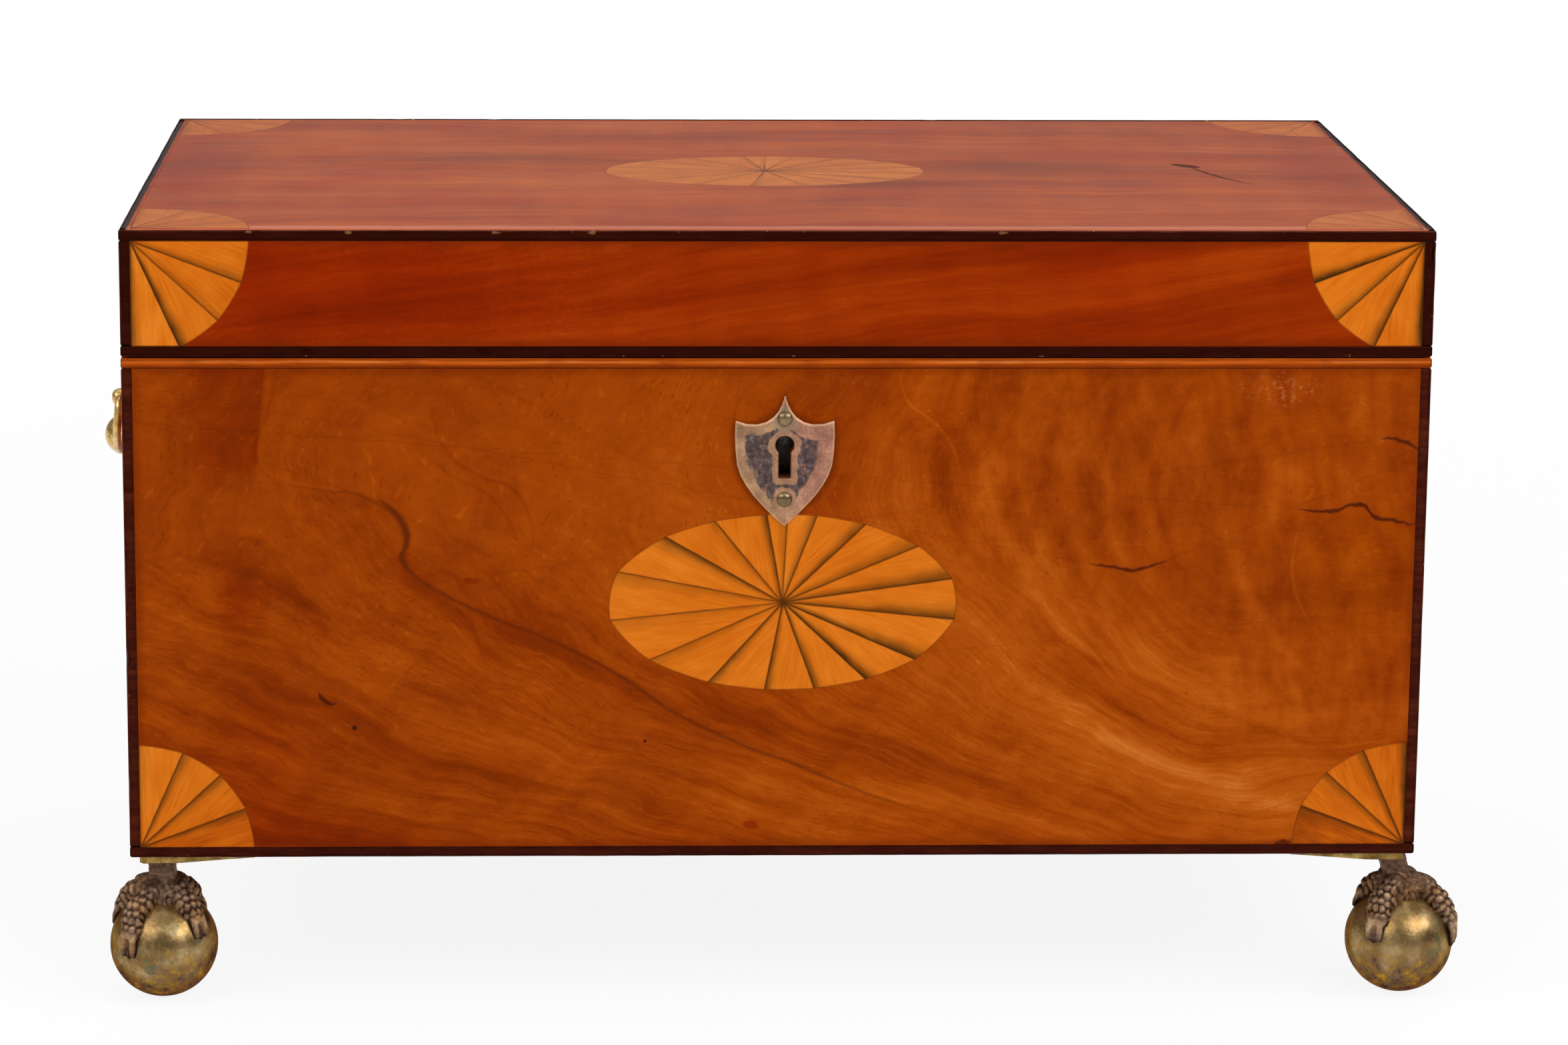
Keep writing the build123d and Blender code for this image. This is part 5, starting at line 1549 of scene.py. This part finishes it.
def plate_part(x_sign, y_sign):
    """Foot plate whose two arms taper in width and in thickness, its lower edges softened."""
    tip, arm, waist = 3.6, 27.0, 10.0
    outline = [
        (0.6, 0), (9, 0), (18, 0), (arm, 0), (arm + 0.3, tip * 0.5), (arm - 0.6, tip), (19, 5.0),
        (13.6, 7.0), (waist, waist), (7.0, 13.6), (5.0, 19), (tip, arm - 0.6), (tip * 0.5, arm + 0.3),
        (0, arm), (0, 18), (0, 9), (0, 0.6)]
    middle = Vector((6, 6))

    def placed(point, height):
        return Vector((
            x_sign * (half_width - (2 + point.x) * mm), y_sign * (back_y - (2 + point.y) * mm), height))

    insets = ((0.0, 0.0), (0.0, 0.75), (0.15, 0.92), (0.5, 1.0))
    vertices = []
    for inset, share in insets:
        for point in map(Vector, outline):
            thickness = plate_thickness(max(point)) * mm
            inner = point + (middle - point).normalized() * inset
            vertices.append(placed(inner, case_low.z - thickness * share))
    size = len(outline)
    faces = ring_faces(len(insets), size, caps=False)
    hub = len(vertices)
    vertices += [placed(middle, case_low.z), placed(middle, plate_low)]
    last = hub - size
    for side in range(size):
        after = (side + 1) % size
        faces.append((hub, side, after))
        faces.append((hub + 1, last + after, last + side))
    return vertices, faces


def make_case_screws():
    """The case's screws as in CAD, with those of the feet sunk to the thinner arms of their plates."""
    source = nodes["case_screws"].data
    sink = (2.8 - plate_thickness(21)) * mm
    foot_top = case_low.z + 30 * mm
    vertices = [
        vertex.co + Vector((0, 0, sink if vertex.co.z < foot_top else 0)) for vertex in source.vertices]
    faces = [tuple(face.vertices) for face in source.polygons]
    new_piece(
        "sunk_case_screws", (vertices, faces), "case", fitting_brass, "case_screws",
        smooth=False, turn_out=False)


def make_claws(side_name, neck_x, toes):
    """The front foot's claw, and its mirror image at the back."""
    centre = ball_centre(f"front_{side_name}_ball")
    mesh = fused(*claw_body(centre, neck_x, toes), 0.3 * mm)
    proud = scale_relief(mesh, centre, toes)
    vertices = [vertex.co.copy() for vertex in mesh.vertices]
    faces = [tuple(face.vertices) for face in mesh.polygons]
    bpy.data.meshes.remove(mesh)
    x_sign = -1 if side_name == "left" else 1
    for end_name, y_sign in (("front", -1), ("back", 1)):
        flip = -y_sign
        claw = [Vector((vertex.x, vertex.y * flip, vertex.z)) for vertex in vertices]
        claw_faces = faces if flip > 0 else [tuple(reversed(face)) for face in faces]
        plate = plate_part(x_sign, y_sign)
        attribute = list(proud) + [0.7] * len(plate[0])
        piece = new_piece(
            f"{end_name}_{side_name}_claw_cast", joined([(claw, claw_faces), plate]), "case", claw_brass,
            f"{end_name}_{side_name}_claw", [("proud", attribute)])
        piece.data.materials.append(plate_brass)
        for polygon in piece.data.polygons[len(claw_faces):]:
            polygon.material_index = 1
            polygon.use_smooth = False


for index, name in enumerate(("front_left_ball", "front_right_ball", "back_left_ball", "back_right_ball")):
    make_ball(name, index * 4.1)
make_case_screws()
make_claws("left", -143.3 * mm, [(-126, 0.97, 1.0), (-40, 0.78, 1.0), (-200, 0.78, 1.0), (46, 0.72, 0.95)])
make_claws("right", 146.0 * mm, [(-128, 0.84, 1.12), (-20, 0.97, 1.0), (-212, 0.64, 1.0), (60, 0.78, 1.0)])


# Side handles

post_y = 25 * mm
handle_z = rim_high - 21.8 * mm
pivot_out = 6.0 * mm


def make_handle(name, side):
    """Hanging bail with a turned knop."""
    pivot = Vector((side * (half_width + pivot_out), 0, handle_z))
    outward, drop = 1.3, 14.5
    down = Vector((side * outward, 0, -drop)).normalized()
    hang = math.hypot(outward, drop) * mm
    shoulder = post_y + 4.2 * mm
    knots = [(post_y - 2.0 * mm, 0), (post_y + 1.8 * mm, 0), (shoulder - 0.9 * mm, 0.5 * mm),
             (shoulder, 2.8 * mm), (shoulder - 0.3 * mm, 7.2 * mm), (post_y + 0.6 * mm, 11.2 * mm),
             (19.5 * mm, hang - 0.5 * mm), (15 * mm, hang), (8 * mm, hang)]
    knots = knots + [(-y, fall) for y, fall in reversed(knots)]
    path = spline_path([pivot + Vector((0, y, 0)) + down * fall for y, fall in knots], 8)
    radii = []
    for point in path:
        spread = abs(point.y)
        radii.append((1.0 + 0.35 * max(0.0, 1 - abs(spread - 14 * mm) / (6 * mm))) * mm)
    rod = tube(path, radii, 16)
    half_knop = [
        (5.15, 0), (4.9, 1.8), (3.6, 3.9), (2.4, 4.9), (3.2, 5.4), (2.9, 6.2), (1.3, 6.6), (1.7, 7.2),
        (1.5, 8.2), (0, 8.2)]
    knop = turned([(radius, -height) for radius, height in reversed(half_knop[1:])] + half_knop, 40)
    place = Matrix.Translation(pivot + down * hang) @ Matrix.Rotation(math.radians(90), 4, "X")
    new_piece(
        f"{name}_handle", joined([rod, moved(knop, place)]), f"{name}_bail", handle_brass,
        f"{name}_bail")


def make_posts():
    """Posts with ball ends, and the stepped rosettes under them."""
    post = turned([
        (0, -5.9), (1.45, -5.9), (1.45, 1.2), (1.9, 1.8), (1.5, 2.6), (1.3, 3.4), (1.8, 4.3),
        (2.15, 5.4), (2.2, 6.2), (1.9, 7.3), (1.1, 8.0), (0, 8.1)], 32)
    rose = turned([
        (0, 0.02), (6.45, 0.02), (6.5, 0.5), (6.1, 0.9), (5.3, 0.85), (4.9, 1.05), (4.2, 1.5), (2.4, 1.55),
        (0, 1.6)], 48)
    places = [
        Matrix.Translation((side * half_width, end * post_y, handle_z))
        @ Matrix.Rotation(math.radians(side * 90), 4, "Y")
        for side in (-1, 1) for end in (-1, 1)]
    for name, shape, replaced in (
            ("handle_post_turnings", post, "handle_posts"), ("handle_roses", rose, "handle_rosettes")):
        shapes = joined([moved(shape, place) for place in places])
        piece = new_piece(name, shapes, "case", handle_brass, replaced)
    piece.data.set_sharp_from_angle(angle=math.radians(50))


make_handle("left", -1)
make_handle("right", 1)
make_posts()


# Inside: knobs, mixing bowl and lid lining

def make_knob(name):
    """Small turned knob of an inner lid."""
    low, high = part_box(f"{name}_inner_knob")
    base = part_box(f"{name}_inner_lid")[1].z
    knob = turned([
        (0, -3.9), (1.55, -3.9), (1.55, 0.02), (4.4, 0.02), (4.6, 0.8), (4.1, 1.5), (2.7, 2.3), (2.4, 3.6),
        (2.7, 4.9), (4.6, 6.1), (5.9, 7.6), (6.0, 9.0), (5.4, 10.6), (3.4, 11.7), (0, 12.0)], 40)
    place = Matrix.Translation(((low.x + high.x) / 2, 0, base))
    new_piece(
        f"{name}_knob_turning", moved(knob, place), f"{name}_inner_lid", knob_wood,
        f"{name}_inner_knob")


def make_bowl():
    """Glass bowl with cut flutes under a turned-out rim."""
    low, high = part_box("mixing_bowl")
    height, drawn_height = high.z - low.z, 62
    flutes, flute_low, flute_high = 24, 6, 46
    outside = [
        (0, 0.4), (13, 0.2), (15.6, 0), (16, 0.8), (16, 2.4), (20, 6), (27, 16), (31.5, 28), (34, 40),
        (35.6, 50), (35.8, 59.6), (38.6, 59.8), (39.4, 60.3), (39.4, 61.5), (38.8, 62.0)]
    inside = [
        (34.2, 62.0), (33.4, 61.4), (33.3, 50), (31.2, 38), (28, 26), (23, 15), (13.6, 5.6), (6, 4.9),
        (0, 4.8)]
    profile = rounded_profile(outside)[:-1] + rounded_profile(inside)
    vertices, faces = lathe([(radius * mm, rise * height / drawn_height) for radius, rise in profile], 144)
    for vertex in vertices:
        rise = vertex.z / height * drawn_height
        radius = math.hypot(vertex.x, vertex.y)
        inner = np.interp(rise, [4.8, 5.6, 15, 26, 38, 50, 62], [6, 13.6, 23, 28, 31.2, 33.3, 34]) * mm
        if flute_low < rise < flute_high and radius > inner + 1.0 * mm:
            flute = abs(math.cos(math.atan2(vertex.y, vertex.x) * flutes / 2))
            depth = 0.75 * mm * flute * math.sin(math.pi * (rise - flute_low) / (flute_high - flute_low))
            vertex.x *= 1 - depth / radius
            vertex.y *= 1 - depth / radius
    bowl = moved((vertices, faces), Matrix.Translation((0, 0, low.z)))
    piece = new_piece("cut_glass_bowl", bowl, "mixing_bowl", glass, "mixing_bowl")
    piece.visible_shadow = False


def make_lining():
    """Cloth stuck under the lid board, with slight puckers."""
    low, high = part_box("lid_lining")
    columns, rows = 140, 76
    vertices = []
    for row in range(rows + 1):
        for column in range(columns + 1):
            x = low.x + (high.x - low.x) * column / columns
            y = low.y + (high.y - low.y) * row / rows
            pucker = noise.noise(Vector((x / (18 * mm), y / (18 * mm), 1.0))) * 0.1 * mm
            vertices.append(Vector((x, y, low.z + 0.2 * mm + pucker)))
    faces = [
        (row * (columns + 1) + column, (row + 1) * (columns + 1) + column,
         (row + 1) * (columns + 1) + column + 1, row * (columns + 1) + column + 1)
        for row in range(rows) for column in range(columns)]
    felt = slab(vertices, faces, Vector((0, 0, 0.8 * mm)))
    piece = new_piece("baize_lining", felt, "lid", cloth, "lid_lining")


make_knob("left")
make_knob("right")
make_bowl()
make_lining()


# Floor, light and camera

def make_floor():
    """Pale studio floor that stays white to the camera except where a soft shadow falls."""
    bpy.ops.mesh.primitive_plane_add(size=30, location=(0, 0, -0.05 * mm))
    floor = bpy.context.object
    floor.name = "studio_floor"
    graph = Graph("studio_floor")
    shader = graph.node("BsdfDiffuse", {"Color": (0.94, 0.94, 0.94, 1)})
    glow = graph.node("Emission", {"Color": (1, 1, 1, 1), "Strength": 1.0})
    paths = graph.node("LightPath")
    seen = graph.value(paths, "Is Camera Ray") + graph.value(paths, "Is Glossy Ray")
    x, y, _ = graph.place()
    far = graph.smooth(graph.root(x * x + y * y), 320, 900)
    share = graph.minimum(seen + graph.value(paths, "Is Transmission Ray"), 1.0) * (0.89 + far * 0.11)
    blend = graph.node("MixShader", {0: share})
    graph.tree.links.new(shader.outputs[0], blend.inputs[1])
    graph.tree.links.new(glow.outputs[0], blend.inputs[2])
    output = graph.node("OutputMaterial")
    graph.tree.links.new(blend.outputs[0], output.inputs["Surface"])
    floor.data.materials.append(graph.material)


def make_world():
    """White to the camera and through glass, and a soft studio to everything else: dim behind the camera."""
    world = bpy.data.worlds.new("studio")
    bpy.context.scene.world = world
    graph = Graph("studio", world)
    parts = graph.node("SeparateXYZ", {0: graph.value(graph.node("TexCoord"), "Generated")})
    beyond = graph.smooth(graph.value(parts, "Y"), -0.6, 0.8) * 0.07
    above = graph.smooth(graph.value(parts, "Z"), 0.15, 0.9) * 0.5
    studio = beyond + above + 0.08
    paths = graph.node("LightPath")
    white = graph.minimum(
        graph.value(paths, "Is Camera Ray") + graph.value(paths, "Is Transmission Ray")
        + graph.value(paths, "Is Glossy Ray") * 0.1, 1.0)
    strength = studio + white * (1 - studio)
    background = graph.node("Background", {"Color": (1, 1, 1, 1), "Strength": strength})
    output = graph.node("OutputWorld")
    graph.tree.links.new(background.outputs[0], output.inputs["Surface"])


def softbox(name, place, size, power):
    """Rectangular area lamp aimed at the middle of the caddy."""
    lamp = bpy.data.lights.new(name, "AREA")
    lamp.shape = "RECTANGLE"
    lamp.size, lamp.size_y = size
    lamp.energy = power
    holder = bpy.data.objects.new(name, lamp)
    bpy.context.scene.collection.objects.link(holder)
    holder.location = place
    holder.rotation_mode = "QUATERNION"
    target = Vector((0, 0, 0.1))
    holder.rotation_quaternion = (target - Vector(place)).to_track_quat("-Z", "Y")


def make_camera():
    """Camera fitted to the corners of the box in the photograph."""
    yaw, pitch, roll = (math.radians(angle) for angle in (1.719, 11.446, 0.339))
    forward = Vector((math.sin(yaw) * math.cos(pitch), math.cos(yaw) * math.cos(pitch), -math.sin(pitch)))
    level = Vector((math.cos(yaw), -math.sin(yaw), 0))
    upward = level.cross(forward)
    right = level * math.cos(roll) + upward * math.sin(roll)
    up = right.cross(forward)
    turn = Matrix((right, up, -forward)).transposed()
    camera = bpy.data.cameras.new("camera")
    camera.lens = 107.79
    camera.sensor_width = 36
    camera.shift_x = 0.05
    camera.shift_y = -0.1
    camera.clip_start = 0.05
    camera.clip_end = 100
    holder = bpy.data.objects.new("camera", camera)
    bpy.context.scene.collection.objects.link(holder)
    holder.matrix_world = Matrix.Translation((-0.0483, -1.1367, 0.3656)) @ turn.to_4x4()
    bpy.context.scene.camera = holder


make_floor()
make_world()
softbox("left_softbox", (-1.0, -0.9, 1.05), (1.6, 0.75), 10.2)
softbox("right_softbox", (1.0, -0.9, 1.05), (1.6, 0.75), 15.3)
softbox("top_softbox", (0.0, 0.15, 1.4), (1.2, 0.9), 4.0)
make_camera()
bpy.context.scene.view_settings.view_transform = "Standard"
